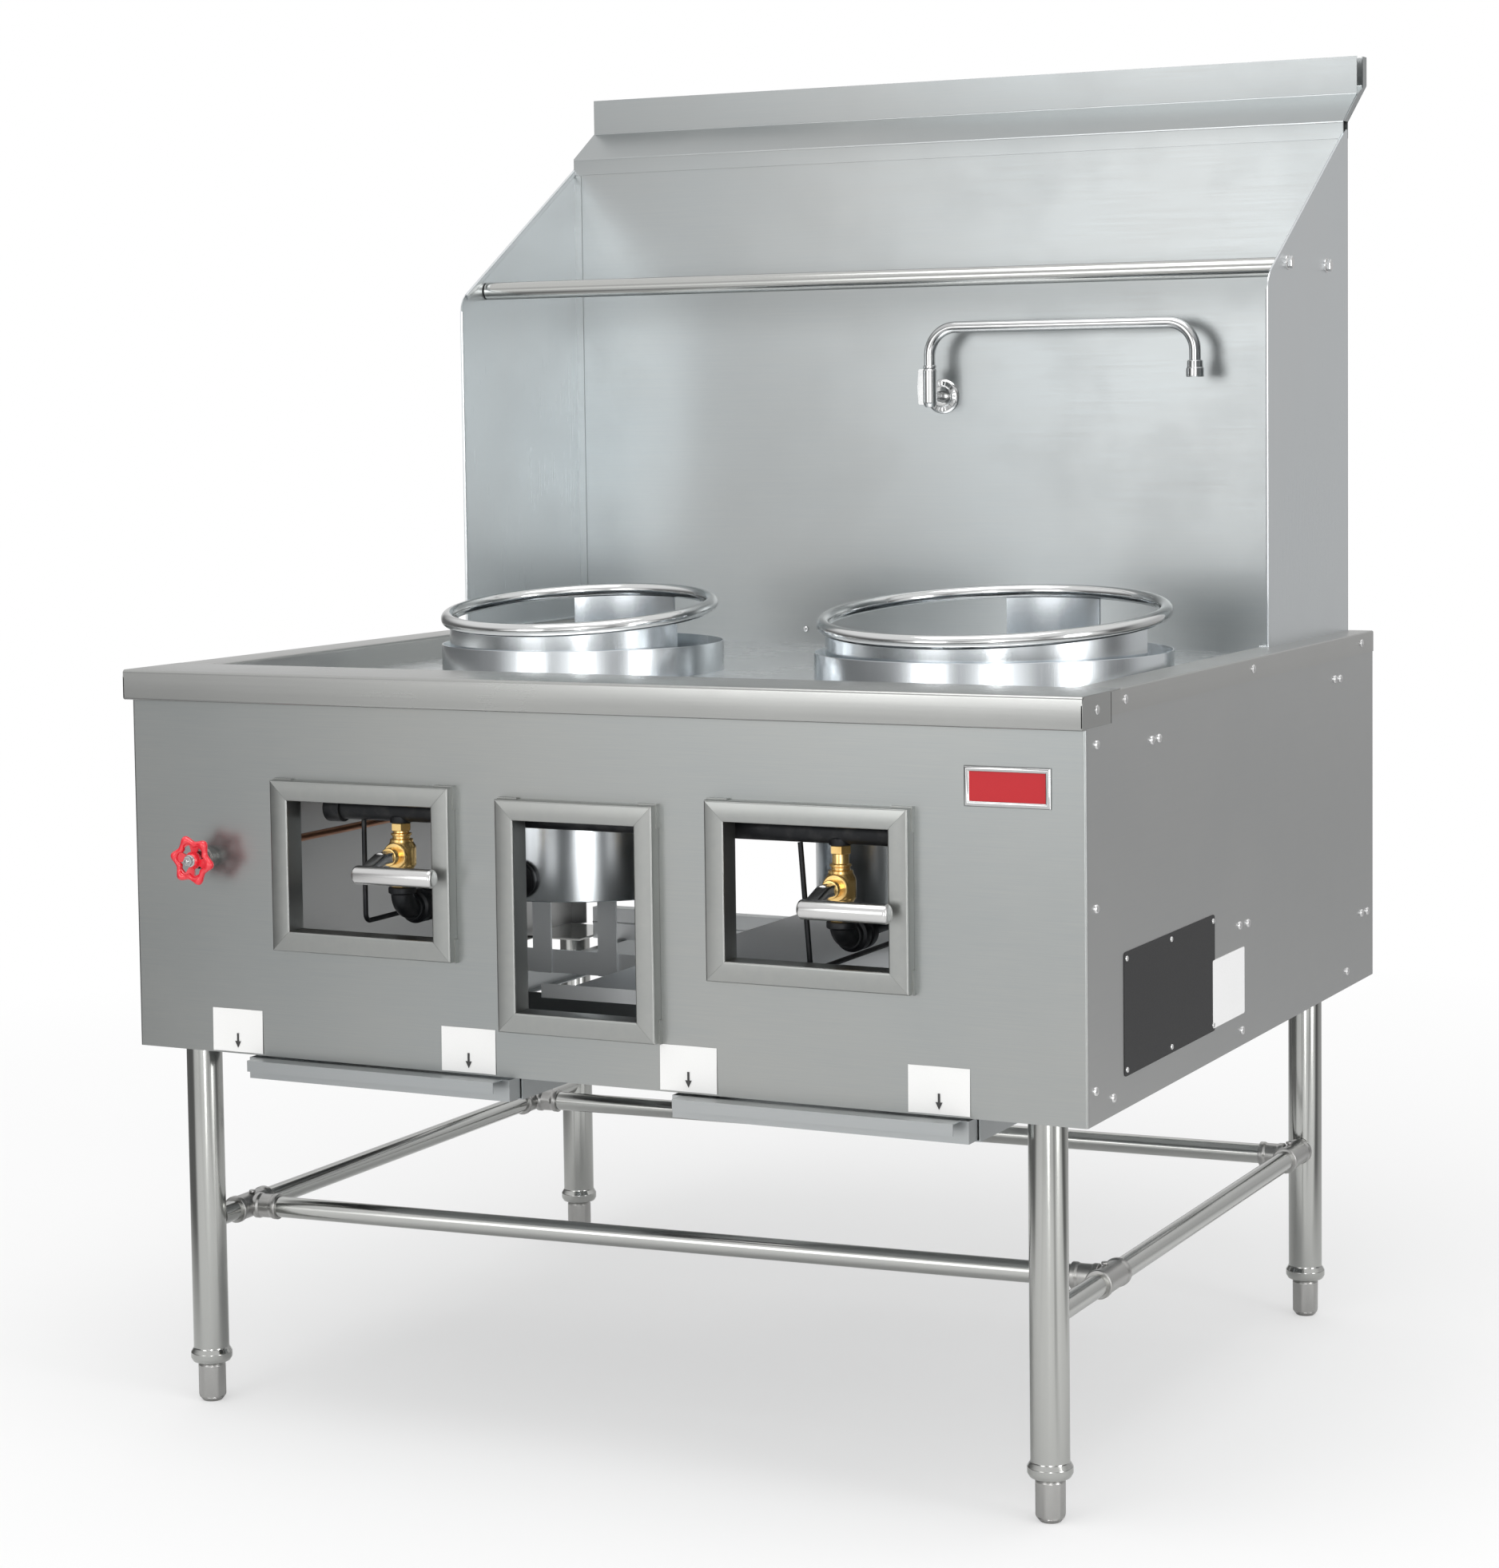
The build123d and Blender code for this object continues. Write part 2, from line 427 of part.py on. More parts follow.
# Faucet: wall flange and stub, body with its blade, spout that swings, and nozzle
disc = rod((SPOUT_X, Y_SPLASH, STUB_Z), (SPOUT_X, Y_SPLASH - 4, STUB_Z), 24)
disc += rod((SPOUT_X, Y_SPLASH - 4, STUB_Z), (SPOUT_X, Y_SPLASH - 7, STUB_Z), 14)
piece("faucet_flange", disc - rod((SPOUT_X, Y_SPLASH + 1, STUB_Z), (SPOUT_X, Y_SPLASH - 9, STUB_Z), 7.5))
body = turned(SPOUT_X, SPOUT_Y, [(0, 1196.5), (7, 1197.5), (9.5, 1201), (9.5, 1248.5), (0, 1248.5)])
blade = xz_bar(SPOUT_Y - 5, SPOUT_Y + 5, [(SPOUT_X, 1199), (SPOUT_X - 16, 1199), (SPOUT_X - 17, 1223),
                                          (SPOUT_X - 15, 1248.5), (SPOUT_X, 1248.5)])
body += blade + rod((SPOUT_X, SPOUT_Y, STUB_Z), (SPOUT_X, y_pipe - 4.75, STUB_Z), 7.5)
body -= rod((SPOUT_X, SPOUT_Y, 1225), (SPOUT_X, SPOUT_Y, 1260), SPIGOT_R + STEM_FIT)
piece("faucet_body", body)
tip_x = SPOUT_X + SPOUT_REACH
spout = tube_path([(SPOUT_X, SPOUT_Y, 1248.9), (SPOUT_X, SPOUT_Y, SPOUT_Z), (tip_x, SPOUT_Y, SPOUT_Z),
                   (tip_x, SPOUT_Y, 1240)], 7.75, 38, 5)
spout += rod((SPOUT_X, SPOUT_Y, 1228), (SPOUT_X, SPOUT_Y, 1252), SPIGOT_R, 5)
piece("faucet_spout", spout)
piece("spout_nozzle", turned(tip_x, SPOUT_Y, [
    (7.75, 1253), (10.5, 1251), (12, 1250), (12, 1233), (11, 1232), (8.5, 1232), (8.5, 1240),
    (7.75, 1240)]))

# Drip trays with a folded handle, and the runners they slide on
z0, z1 = TRAY_Z
for side, s in SIDES.items():
    x, half, t = s["tray"], TRAY_W / 2, 1.2
    tray = block(x - half, x + half, -5, TRAY_L - 5, z0, z1)
    tray -= block(x - half + t, x + half - t, -5 + t, TRAY_L - 5 - t, z0 + t, z1)
    tray += block(x - half + 10, x + half - 10, -25, -5, z1 - t, z1)
    tray += block(x - half + 10, x + half - 10, -25, -25 + t, z1 - 13, z1 - t)
    piece(f"drip_tray_{side}", tray)
    rails = []
    for sign in (-1, 1):
        a = half + 1.2
        rails.append(xz_bar(20, 960, [(x + sign * px, pz) for px, pz in (
            (a - 12, 411), (a + 1.5, 411), (a + 1.5, 438.5), (a + 16, 438.5), (a + 16, 440), (a, 440),
            (a, 412.5), (a - 12, 412.5))]))
    piece(f"tray_runners_{side}", *rails)

# Legs with a corner plate and a flared collar, and levelling feet
CORNERS = {f"{row}_{side}": (sign * LEG_X, y) for row, y in zip(("front", "rear"), LEG_Y)
           for side, sign in (("left", -1), ("right", 1))}
for name, (x, y) in CORNERS.items():
    leg = turned(x, y, [
        (8.1, 50), (8.1, 74), (20, 74), (20, 440), (LEG_R, 440), (LEG_R, 62), (24.5, 60), (25, 54),
        (23, 49), (17, 49), (17, 50)])
    plate_y = (y - 41, y + 62) if y < 500 else (y - 62, y + 62)
    out = 1 if x > 0 else -1
    reach = PLATE_INNER if y < 500 else PLATE_HALF
    leg += block(*sorted((x + out * PLATE_HALF, x - out * reach)), *plate_y, 441.5, 444.5)
    leg += rod((x, y, 438), (x, y, 441.5), LEG_R)
    piece(f"leg_{name}", leg)
    foot = turned(x, y, [
        (0, 0), (11.5, 0), (16, 5), (16.5, 8), (16.5, 44), (14.5, 48.5), (8, 48.5), (8, 112), (0, 112)])
    for k in range(6):
        flat = Rot(0, 0, 60 * k) * block(14.4, 20, -20, 20, 5, 24)
        foot -= Pos(x, y, 0) * flat
    piece(f"foot_{name}", foot)

# Lower rails: two side rails, two cross rails set askew between them, and tee fittings
side_rails, tees = [], []
for x in (-LEG_X, LEG_X):
    y0, y1 = LEG_Y[0] + LEG_R + 0.1, LEG_Y[1] - LEG_R - 0.1
    side_rails.append(rod((x, y0, RAIL_Z), (x, y1, RAIL_Z), RAIL_R, 11))
piece("side_rails", *side_rails)
cross = []
for y_left, y_right in ((130, 222), (824, 896)):
    a, b = Vector(-LEG_X, y_left, RAIL_Z), Vector(LEG_X, y_right, RAIL_Z)
    step = (b - a).normalized()
    cross.append(rod(a + step * 17, b - step * 17, RAIL_R, 11))
    for end, way in ((a, 1), (b, -1)):
        tee = rod((end.X, end.Y - 33, RAIL_Z), (end.X, end.Y + 33, RAIL_Z), 16.5)
        tee += rod(end, end + step * way * 42, 15.8)
        tee -= rod((end.X, end.Y - 40, RAIL_Z), (end.X, end.Y + 40, RAIL_Z), RAIL_R + RAIL_FIT)
        tee -= rod(end + step * way * 16.9, end + step * way * 50, RAIL_R + RAIL_FIT)
        tees.append(tee)
piece("cross_rails", *cross)
piece("rail_tees", *tees)
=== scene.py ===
# %% [markdown]
# # A two-burner wok range
# A wok range is a sheet-steel cabinet on tube legs, with an open chamber for each wok, a tall
# splash back and a hot-air riser behind it. The imported solids are the fixed frame. This lesson
# dresses them: sheets get real bends, tubes get round, and every surface gets a worked finish.
# First the frame is loaded. The dressed model has to stay inside the frame's box.

# %% Load the frame
from math import cos, pi, radians, sin

import bpy
import numpy as np
from mathutils import Matrix, Vector


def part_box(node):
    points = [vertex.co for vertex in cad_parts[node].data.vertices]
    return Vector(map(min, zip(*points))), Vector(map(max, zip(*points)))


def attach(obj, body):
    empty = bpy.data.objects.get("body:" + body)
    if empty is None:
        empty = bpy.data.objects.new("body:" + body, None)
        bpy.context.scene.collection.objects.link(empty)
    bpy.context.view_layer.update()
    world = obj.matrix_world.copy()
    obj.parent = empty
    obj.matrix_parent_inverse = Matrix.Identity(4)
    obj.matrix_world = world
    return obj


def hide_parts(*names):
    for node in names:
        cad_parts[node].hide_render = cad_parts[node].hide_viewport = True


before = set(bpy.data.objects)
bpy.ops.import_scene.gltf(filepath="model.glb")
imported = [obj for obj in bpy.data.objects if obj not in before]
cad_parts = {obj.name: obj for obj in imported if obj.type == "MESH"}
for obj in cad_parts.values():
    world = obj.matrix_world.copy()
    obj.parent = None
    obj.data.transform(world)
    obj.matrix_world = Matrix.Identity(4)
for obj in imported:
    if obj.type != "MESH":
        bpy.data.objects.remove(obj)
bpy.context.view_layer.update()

# %% [markdown]
# ## Shop millimetres
# A fitter measures a cabinet from its front panel and its centre line, in millimetres. All shapes
# below are worked out that way. One function turns them into the frame's metres: the frame's
# origin is under the middle of the whole box, and the front panel's own box says how far back.

# %% Shop measures to frame metres
BACK_TO_ORIGIN = -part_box("front_panel")[0][1] * 1000


def metres(points):
    """Frame metres from shop millimetres: y loses the origin's distance, then all is / 1000."""
    return (np.asarray(points, float) - (0, BACK_TO_ORIGIN, 0)) / 1000


print("the origin lies", round(BACK_TO_ORIGIN, 2), "mm behind the front panel")

# %% [markdown]
# ## The camera
# The photograph was taken from the right, a little above the rim, with a long lens. Its place was
# solved from the cabinet's corners: yaw and pitch give the line of sight, the roll is a tilt of
# under a degree, and a small shift says that the picture was cropped off centre.

# %% Camera
YAW, PITCH, ROLL = radians(-26.66), radians(3.92), radians(-0.74)
FOCAL_PX, TALL, CENTRE_ROW, SENSOR = 4236.27, 1963, 800, 36
CAMERA_PLACE = (1870.15, -3286.11, 1199.58)
line = Vector((sin(YAW) * cos(PITCH), cos(YAW) * cos(PITCH), -sin(PITCH)))
level = Vector((cos(YAW), -sin(YAW), 0))
rise = level.cross(line)
across = level * cos(ROLL) + rise * sin(ROLL)
upward = rise * cos(ROLL) - level * sin(ROLL)
lens = bpy.data.cameras.new("photo_lens")
lens.sensor_fit, lens.sensor_width = "AUTO", SENSOR
lens.lens = FOCAL_PX / TALL * SENSOR
lens.shift_y = -(TALL / 2 - CENTRE_ROW) / TALL
lens.clip_end = 60
camera = bpy.data.objects.new("photo_camera", lens)
stand = Matrix((across, upward, -line)).transposed().to_4x4()
stand.translation = metres([CAMERA_PLACE])[0]
camera.matrix_world = stand
bpy.context.scene.collection.objects.link(camera)
bpy.context.scene.camera = camera
print("lens", round(lens.lens, 1), "mm, shift", round(lens.shift_y, 4))

# %% [markdown]
# ## Surfaces from arrays
# Each shape is a grid of points: one direction runs along an outline, the other along a path or
# round an axis. A grid becomes quads in one step. Its two ends are closed by fans, or by ladders
# where the outline is a bent strip. A closed surface has a signed volume, so a shape that came out
# inside out is found and turned.

# %% Grids, fans and outward faces


def unit(rows):
    """Each row divided by its length."""
    rows = np.asarray(rows, float)
    return rows / np.linalg.norm(rows, axis=-1, keepdims=True)


def ladder(row):
    """Closes a row of n corners by rungs: quad k has corners k, k + 1, n - 2 - k and n - 1 - k, and
    an odd row ends in a triangle."""
    n = len(row)
    k = np.arange(n // 2 - 1)
    quads = np.stack([row[k], row[k + 1], row[n - 2 - k], row[n - 1 - k]], -1)
    middle = [n // 2 - 1, n // 2, n // 2 + 1] if n % 2 else []
    return quads, row[middle].reshape(-1, 3)


def grid(points, wrap_u=False, wrap_v=True, caps=True, rungs=False):
    """Quads over an array of points [u, v, xyz]; wrap joins the last row to the first. With caps
    each end row of u is closed by a fan round its mean point, or with rungs by a ladder."""
    nu, nv = points.shape[:2]
    index = np.arange(nu * nv).reshape(nu, nv)
    rows = np.vstack([index, index[:1]]) if wrap_u else index
    cols = np.hstack([rows, rows[:, :1]]) if wrap_v else rows
    quads = np.stack([cols[:-1, :-1], cols[1:, :-1], cols[1:, 1:], cols[:-1, 1:]], -1).reshape(-1, 4)
    verts, tris = points.reshape(-1, 3), np.zeros((0, 3), int)
    if rungs:
        (quads0, tris0), (quads1, tris1) = ladder(index[0]), ladder(index[-1])
        quads, tris = np.vstack([quads, quads0, quads1[:, ::-1]]), np.vstack([tris0, tris1[:, ::-1]])
    elif caps and not wrap_u:
        hubs = np.array([points[0].mean(0), points[-1].mean(0)])
        first = np.stack([cols[0, :-1], cols[0, 1:], np.full(cols.shape[1] - 1, nu * nv)], -1)
        last = np.stack([cols[-1, 1:], cols[-1, :-1], np.full(cols.shape[1] - 1, nu * nv + 1)], -1)
        verts, tris = np.vstack([verts, hubs]), np.vstack([first, last])
    return outward(verts, quads, tris)


def outward(verts, quads, tris):
    """Signed volume = sum of a . (b x c) / 6 over triangles; where it is negative, faces turn."""
    split = np.vstack([quads[:, [0, 1, 2]], quads[:, [0, 2, 3]], tris])
    a, b, c = (verts[split[:, k]] for k in range(3))
    if np.einsum("ij,ij->", a - verts.mean(0), np.cross(b - verts.mean(0), c - verts.mean(0))) < 0:
        quads, tris = quads[:, ::-1], tris[:, ::-1]
    return verts, quads, tris


def placed(part, place, axis=(0, 0, 1), turn=0.0):
    """The part with its own z laid along axis, turned about it by turn degrees, at a place."""
    z = unit(axis)
    x = unit(np.cross((0, 1, 0) if abs(z[1]) < 0.9 else (0, 0, 1), z))
    y = np.cross(z, x)
    c, s = cos(radians(turn)), sin(radians(turn))
    return part[0] @ np.array([x * c + y * s, y * c - x * s, z]) + place, part[1], part[2]


def together(parts):
    """Several parts as one: corner numbers are raised by the count of points before them."""
    starts = np.cumsum([0] + [len(p[0]) for p in parts])
    quads, tris = (np.vstack([p[k] + s for p, s in zip(parts, starts)]) for k in (1, 2))
    return np.vstack([p[0] for p in parts]), quads, tris


ends = np.array([[(x, y, z) for x, y in ((0, 0), (1, 0), (1, 1), (0, 1))] for z in (0, 1)], float)
print("a box closed by two fans has", len(grid(ends)[1]), "quads and", len(grid(ends)[2]), "triangles")

# %% [markdown]
# ## Turned, swept and folded shapes
# Three tools of the trade cover nearly all of the range. A lathe turns an outline about an axis, a
# pipe bender carries a circle along a rounded path, and a press brake folds sheet: its outline is a
# centre line with rounded corners, set off by half the sheet's thickness to each side.

# %% Lathe, pipe bender and press brake


def turned(outline, count=48, place=(0, 0, 0), axis=(0, 0, 1)):
    """Lathe: (r, z) outline turned about z; point = (r cos a, r sin a, z). It starts and ends on
    the axis, or closes on itself. The shape is then set at a place with z laid along axis."""
    rz = np.asarray(outline, float)
    a = np.linspace(0, 2 * pi, count, endpoint=False)
    on_axis = rz[0, 0] < 1e-6
    ring = rz[1:-1] if on_axis else rz
    pts = np.stack([ring[:, :1] * np.cos(a), ring[:, :1] * np.sin(a), ring[:, 1:] + 0 * a], -1)
    part = grid(pts, wrap_u=not on_axis, caps=on_axis)
    if on_axis:
        part[0][-2:, :2], part[0][-2:, 2] = 0, (rz[0, 1], rz[-1, 1])
    return placed(part, place, axis)


def rounded(points, radius, steps=6):
    """Path with each inner corner replaced by an arc: the arc starts radius * tan(half the turn)
    before the corner, and its points are the corner's circle at equal angles."""
    pts = [np.asarray(p, float) for p in points]
    radii = radius if np.ndim(radius) else [radius] * (len(pts) - 2)
    out = [pts[0]]
    for before, corner, after, r in zip(pts[:-2], pts[1:-1], pts[2:], radii):
        a, b = unit(corner - before), unit(after - corner)
        turn = np.arccos(np.clip(a @ b, -1, 1))
        if turn < 1e-3 or r <= 0:
            out.append(corner)
            continue
        side = (b - a * (a @ b)) / sin(turn)
        t = np.linspace(0, turn, steps)[:, None]
        start = corner - a * r * np.tan(turn / 2)
        out.extend(start + a * r * np.sin(t) + side * r * (1 - np.cos(t)))
    return np.array(out + [pts[-1]])


def swept(path, section, flat, close=False):
    """Section (s, t) carried along a path in one plane: point = path + side * s + flat * t, where
    flat is the plane's normal and side the path's direction turned a quarter in the plane."""
    path, flat = np.asarray(path, float), np.asarray(flat, float)
    ahead = np.roll(path, -1, 0) - np.roll(path, 1, 0) if close else np.gradient(path, axis=0)
    side = np.cross(unit(ahead), flat)
    section = np.asarray(section, float)
    pts = path[:, None] + side[:, None] * section[:, :1] + flat * section[:, 1:]
    return grid(pts, wrap_u=close, caps=not close)


# %% Round bars, folded sheet and plates


def circle(r, count=24):
    """Circle of radius r as (s, t) points."""
    a = np.linspace(0, 2 * pi, count, endpoint=False)
    return np.stack([r * np.cos(a), r * np.sin(a)], -1)


def pipe(points, r, bend, flat=(0, 0, 1), count=24, steps=10):
    """Round bar along a rounded path in one plane."""
    return swept(rounded(points, bend, steps), circle(r, count), flat)


def bar(a, b, r, count=24, soft=0.0):
    """Straight round bar from a to b, its end edges eased by soft."""
    a, b = np.asarray(a, float), np.asarray(b, float)
    long = np.linalg.norm(b - a)
    t = np.linspace(0, pi / 2, 5) if soft else np.array([0.0])
    foot = np.stack([r - soft * (1 - np.sin(t)), soft * (1 - np.cos(t))], -1)
    head = np.stack([foot[::-1, 0], long - foot[::-1, 1]], -1)
    return turned(np.vstack([[(0, 0)], foot, head, [(0, long)]]), count, a, b - a)


def normals(path):
    """Unit normals of a flat path: its direction turned a quarter to the left."""
    ahead = unit(np.gradient(path, axis=0))
    return np.stack([-ahead[:, 1], ahead[:, 0]], -1)


def folded(centre, thick, bend=2.2, steps=5):
    """Press brake: closed outline of a sheet whose centre line is given by its corners."""
    mid = rounded(centre, bend, steps)
    to_face = normals(mid) * thick / 2
    return np.vstack([mid + to_face, (mid - to_face)[::-1]])


def along(outline, start, end, way=0):
    """Prism from start to end along x, y or z (way 0, 1, 2); its outline has the other two."""
    ends = [np.insert(np.asarray(outline, float), way, at, 1) for at in sorted((start, end))]
    return grid(np.array(ends), rungs=True)


def slab(x0, x1, y0, y1, z0, z1, ease=0.0):
    """Plate between two corners, its outline eased round the edge by ease."""
    (x0, x1), (y0, y1), (z0, z1) = sorted((x0, x1)), sorted((y0, y1)), sorted((z0, z1))
    e = ease or min(abs(x1 - x0), abs(y1 - y0), abs(z1 - z0)) * 0.12
    layers = [(z0, e), (z0 + e, 0), (z1 - e, 0), (z1, e)]
    pts = [[(x0 + i, y0 + i, z), (x1 - i, y0 + i, z), (x1 - i, y1 - i, z), (x0 + i, y1 - i, z)]
           for z, i in layers]
    return grid(np.array(pts, float))


print("a sheet folded once has", len(folded([(0, 0), (20, 0), (20, 20)], 1.5)), "outline points")

# %% [markdown]
# ## Finishes as expressions
# A finish is a few numbers that change over the surface. One small class wraps a socket, so that a
# mask can be written as plain arithmetic, and one method makes every other node.

# %% Sockets with arithmetic


class Wire:
    """A shader output that adds Maths nodes when it is used in an expression."""

    def __init__(self, graph, socket):
        self.graph, self.socket = graph, socket

    def maths(self, kind, a, b):
        return self.graph.wire("ShaderNodeMath", {"operation": kind}, i0=a, i1=b)

    def __add__(self, other): return self.maths("ADD", self, other)
    def __radd__(self, other): return self.maths("ADD", other, self)
    def __sub__(self, other): return self.maths("SUBTRACT", self, other)
    def __rsub__(self, other): return self.maths("SUBTRACT", other, self)
    def __mul__(self, other): return self.maths("MULTIPLY", self, other)
    def __rmul__(self, other): return self.maths("MULTIPLY", other, self)


class Graph:
    """A node tree whose nodes are added by one method."""

    def __init__(self, tree):
        self.tree = tree

    def fill(self, made, sockets):
        """Values or links for a node's sockets, which go by name, or by number as i0, i1, i2."""
        for key, value in sockets.items():
            slot = made.inputs[int(key[1:]) if key[1:].isdigit() else key.replace("_", " ")]
            if isinstance(value, Wire):
                self.tree.links.new(value.socket, slot)
            else:
                slot.default_value = value
        return made

    def node(self, kind, settings=(), **sockets):
        """A node of this kind: its settings first, then values or links for its sockets."""
        made = self.tree.nodes.new(kind)
        for key, value in dict(settings).items():
            if key == "stops":
                elements = made.color_ramp.elements
                ramp = list(elements) + [elements.new(0.5) for _ in value[2:]]
                for element, (position, shade) in zip(ramp, value):
                    element.position, element.color = position, (shade, shade, shade, 1)
            else:
                setattr(made, key, value)
        return self.fill(made, sockets)

    def wire(self, kind, settings=(), output=0, **sockets):
        """One output of a new node."""
        return Wire(self, self.node(kind, settings, **sockets).outputs[output])

    def fade(self, wire, low, high):
        """0 below low and 1 above high, with a soft step between them."""
        return self.wire("ShaderNodeMapRange", {"interpolation_type": "SMOOTHSTEP"}, "Result",
                         Value=wire, From_Min=low, From_Max=high)


# %% Materials and their patterns


class Finish(Graph):
    """A material, with its shader and the place on the object that its patterns read."""

    def __init__(self, name, **constants):
        self.material = bpy.data.materials.new(name)
        self.material.use_nodes = True
        super().__init__(self.material.node_tree)
        self.shader = self.tree.nodes["Principled BSDF"]
        self.set(**constants)
        self.place = self.wire("ShaderNodeTexCoord", output="Object")

    def noise(self, scale, detail=3.0, stretch=(1, 1, 1), rough=0.55):
        """Noise of that many cells per metre, drawn out by dividing each direction's scale."""
        spot = self.wire("ShaderNodeMapping", Vector=self.place,
                         Scale=tuple(scale * s for s in stretch))
        return self.wire("ShaderNodeTexNoise", output="Fac", Vector=spot, Scale=1.0, Detail=detail,
                         Roughness=rough)

    def ramp(self, wire, *stops):
        """The wire through a ramp of (position, grey) stops."""
        return self.wire("ShaderNodeValToRGB", {"stops": stops}, Fac=wire)

    def blend(self, mask, a, b):
        """Colour a where the mask is 0 and b where it is 1."""
        return self.wire("ShaderNodeMix", {"data_type": "RGBA"}, 2, i0=mask, i6=(*a, 1), i7=(*b, 1))

    def set(self, **wires):
        """Links or values for the shader's own sockets."""
        self.fill(self.shader, wires)
        return self

    def bump(self, height, distance):
        """Normal from a height field, whose unit is distance metres."""
        return self.set(Normal=self.wire("ShaderNodeBump", Height=height,
                                         Distance=distance, Strength=1.0))


# %% [markdown]
# ## Brushed stainless steel
# Mill-finished stainless sheet has three scales of detail: fine scratches along the rolling
# direction, soft clouds where the rolls pressed unevenly, and smudges where hands have been. The
# scratches are noise drawn out about eighty times. They change the roughness and the bump, and the
# clouds tint the colour between a cool and a warm grey.

# %% Steel finishes


def steel(name, cool, warm, stretch, rough=0.40, scratch=0.06, grain=900.0, height=6e-6):
    """Brushed steel: scratches run along the direction with the smallest stretch."""
    made = Finish(name, Metallic=1.0)
    lines = made.noise(grain, 2.0, stretch, 0.7)
    clouds = made.noise(2.2, 2.0)
    smudge = made.ramp(made.noise(9.0, 5.0), (0.45, 0.0), (0.75, 1.0))
    tint = made.blend(clouds * 0.55 + lines * 0.45, cool, warm)
    made.set(Base_Color=tint,
             Roughness=rough + (lines - 0.5) * scratch + smudge * 0.04 + (clouds - 0.5) * 0.08)
    return made.bump(lines * height + clouds * BUCKLE, 1.0)


FINE = 0.012     # scale along the scratches, which makes them about 80 times as long as wide
BUCKLE = 0.0011  # metres that the soft clouds rise
ALONG_X, ALONG_Y, UPRIGHT, EVEN = (FINE, 1, 1), (1, FINE, 1), (1, 1, FINE), (1, 1, 1)
# The sheet finishes below are all one stainless steel. Their base colours are set darker or paler part
# by part as painted light and shade, each to how brightly its part stands in the light: darker for the
# front sheet, splash back, front rim, window frames and drip trays, paler for the side sheets and side
# rims, paler still for the wings, and palest for the chambers and the deck.
FRONT = steel("front_sheet_steel", (0.28, 0.315, 0.33), (0.42, 0.41, 0.385), ALONG_X, 0.33, 0.10)
SIDE = steel("side_sheet_steel", (0.41, 0.425, 0.43), (0.51, 0.505, 0.495), ALONG_Y, 0.36)
SPLASH = steel("splash_back_steel", (0.31, 0.345, 0.36), (0.41, 0.41, 0.40), ALONG_X, 0.32, 0.10)
WING = steel("wing_steel", (0.58, 0.63, 0.655), (0.68, 0.68, 0.68), UPRIGHT, 0.30, 0.10)
DECK = steel("deck_steel", (0.76, 0.79, 0.80), (0.84, 0.85, 0.86), ALONG_X, 0.26)
RIM = steel("rim_steel", (0.34, 0.345, 0.34), (0.43, 0.435, 0.42), ALONG_X, 0.24, 0.05, 350.0, 3e-6)
SIDE_RIM = steel("side_rim_steel", (0.40, 0.405, 0.40), (0.48, 0.475, 0.46), ALONG_Y, 0.30,
                 0.05, 350.0, 4e-6)
FRAME = steel("window_frame_steel", (0.29, 0.305, 0.30), (0.38, 0.38, 0.365), (0.1, 1, 0.1), 0.32)
SHELL = steel("rolled_chamber_steel", (0.66, 0.70, 0.73), (0.74, 0.77, 0.79), UPRIGHT, 0.20)
TUBE = steel("leg_tube_steel", (0.38, 0.39, 0.38), (0.48, 0.48, 0.46), UPRIGHT, 0.13)
RAIL_ALONG = steel("side_rail_steel", (0.44, 0.45, 0.44), (0.52, 0.52, 0.50), ALONG_Y, 0.16)
RAIL_ACROSS = steel("cross_rail_steel", (0.44, 0.45, 0.44), (0.52, 0.52, 0.50), ALONG_X, 0.16)
BRIGHT = steel("polished_ring_steel", (0.60, 0.61, 0.61), (0.66, 0.665, 0.66), EVEN, 0.10,
               0.03, 500.0, 3e-6)
CAST = steel("dull_foot_steel", (0.36, 0.36, 0.355), (0.44, 0.435, 0.42), EVEN, 0.30, 0.10, 300.0, 2e-5)
# The inner steel is zinc-coated sheet, pale and dull, and its base colour is set paler still: painted
# light, standing for the light that comes into the cabinet from behind and below.
INNER = steel("inner_zinc_steel_and_painted_light", (0.74, 0.77, 0.78), (0.82, 0.83, 0.84), ALONG_X, 0.45)
INNER.set(Metallic=0.55)  # coated with zinc, so duller than bare sheet
TRAY = steel("drip_tray_steel", (0.36, 0.39, 0.405), (0.44, 0.445, 0.44), ALONG_X, 0.36)
print("steel finishes:", len(bpy.data.materials))

# %% [markdown]
# ## Brass, iron, enamel, plating and paper
# The valves are turned brass, yellow with browner hollows. The pipework is black iron with a thin
# oily sheen. The handwheel is thick red enamel under a clear gloss, and the faucet is plated.

# %% Other finishes


def brass():
    """Turned rings in the roughness and the bump, browner stains in the colour."""
    made = Finish("turned_brass", Metallic=0.85)
    rings = made.noise(260.0, 3.0)
    stain = made.ramp(made.noise(70.0, 4.0), (0.35, 0.0), (0.75, 1.0))
    made.set(Base_Color=made.blend(stain, (0.95, 0.68, 0.28), (0.80, 0.50, 0.17)),
             Roughness=0.17 + rings * 0.12)
    return made.bump(rings, 3e-5)


def iron():
    """Cast skin in the roughness and the bump, and a colour worn paler in patches."""
    made = Finish("black_iron_pipe", Metallic=0.55)
    skin = made.noise(420.0, 4.0)
    wear = made.ramp(made.noise(45.0, 5.0), (0.48, 0.0), (0.80, 1.0))
    made.set(Base_Color=made.blend(wear, (0.012, 0.013, 0.015), (0.045, 0.045, 0.045)),
             Roughness=0.36 + skin * 0.22)
    return made.bump(skin, 8e-5)


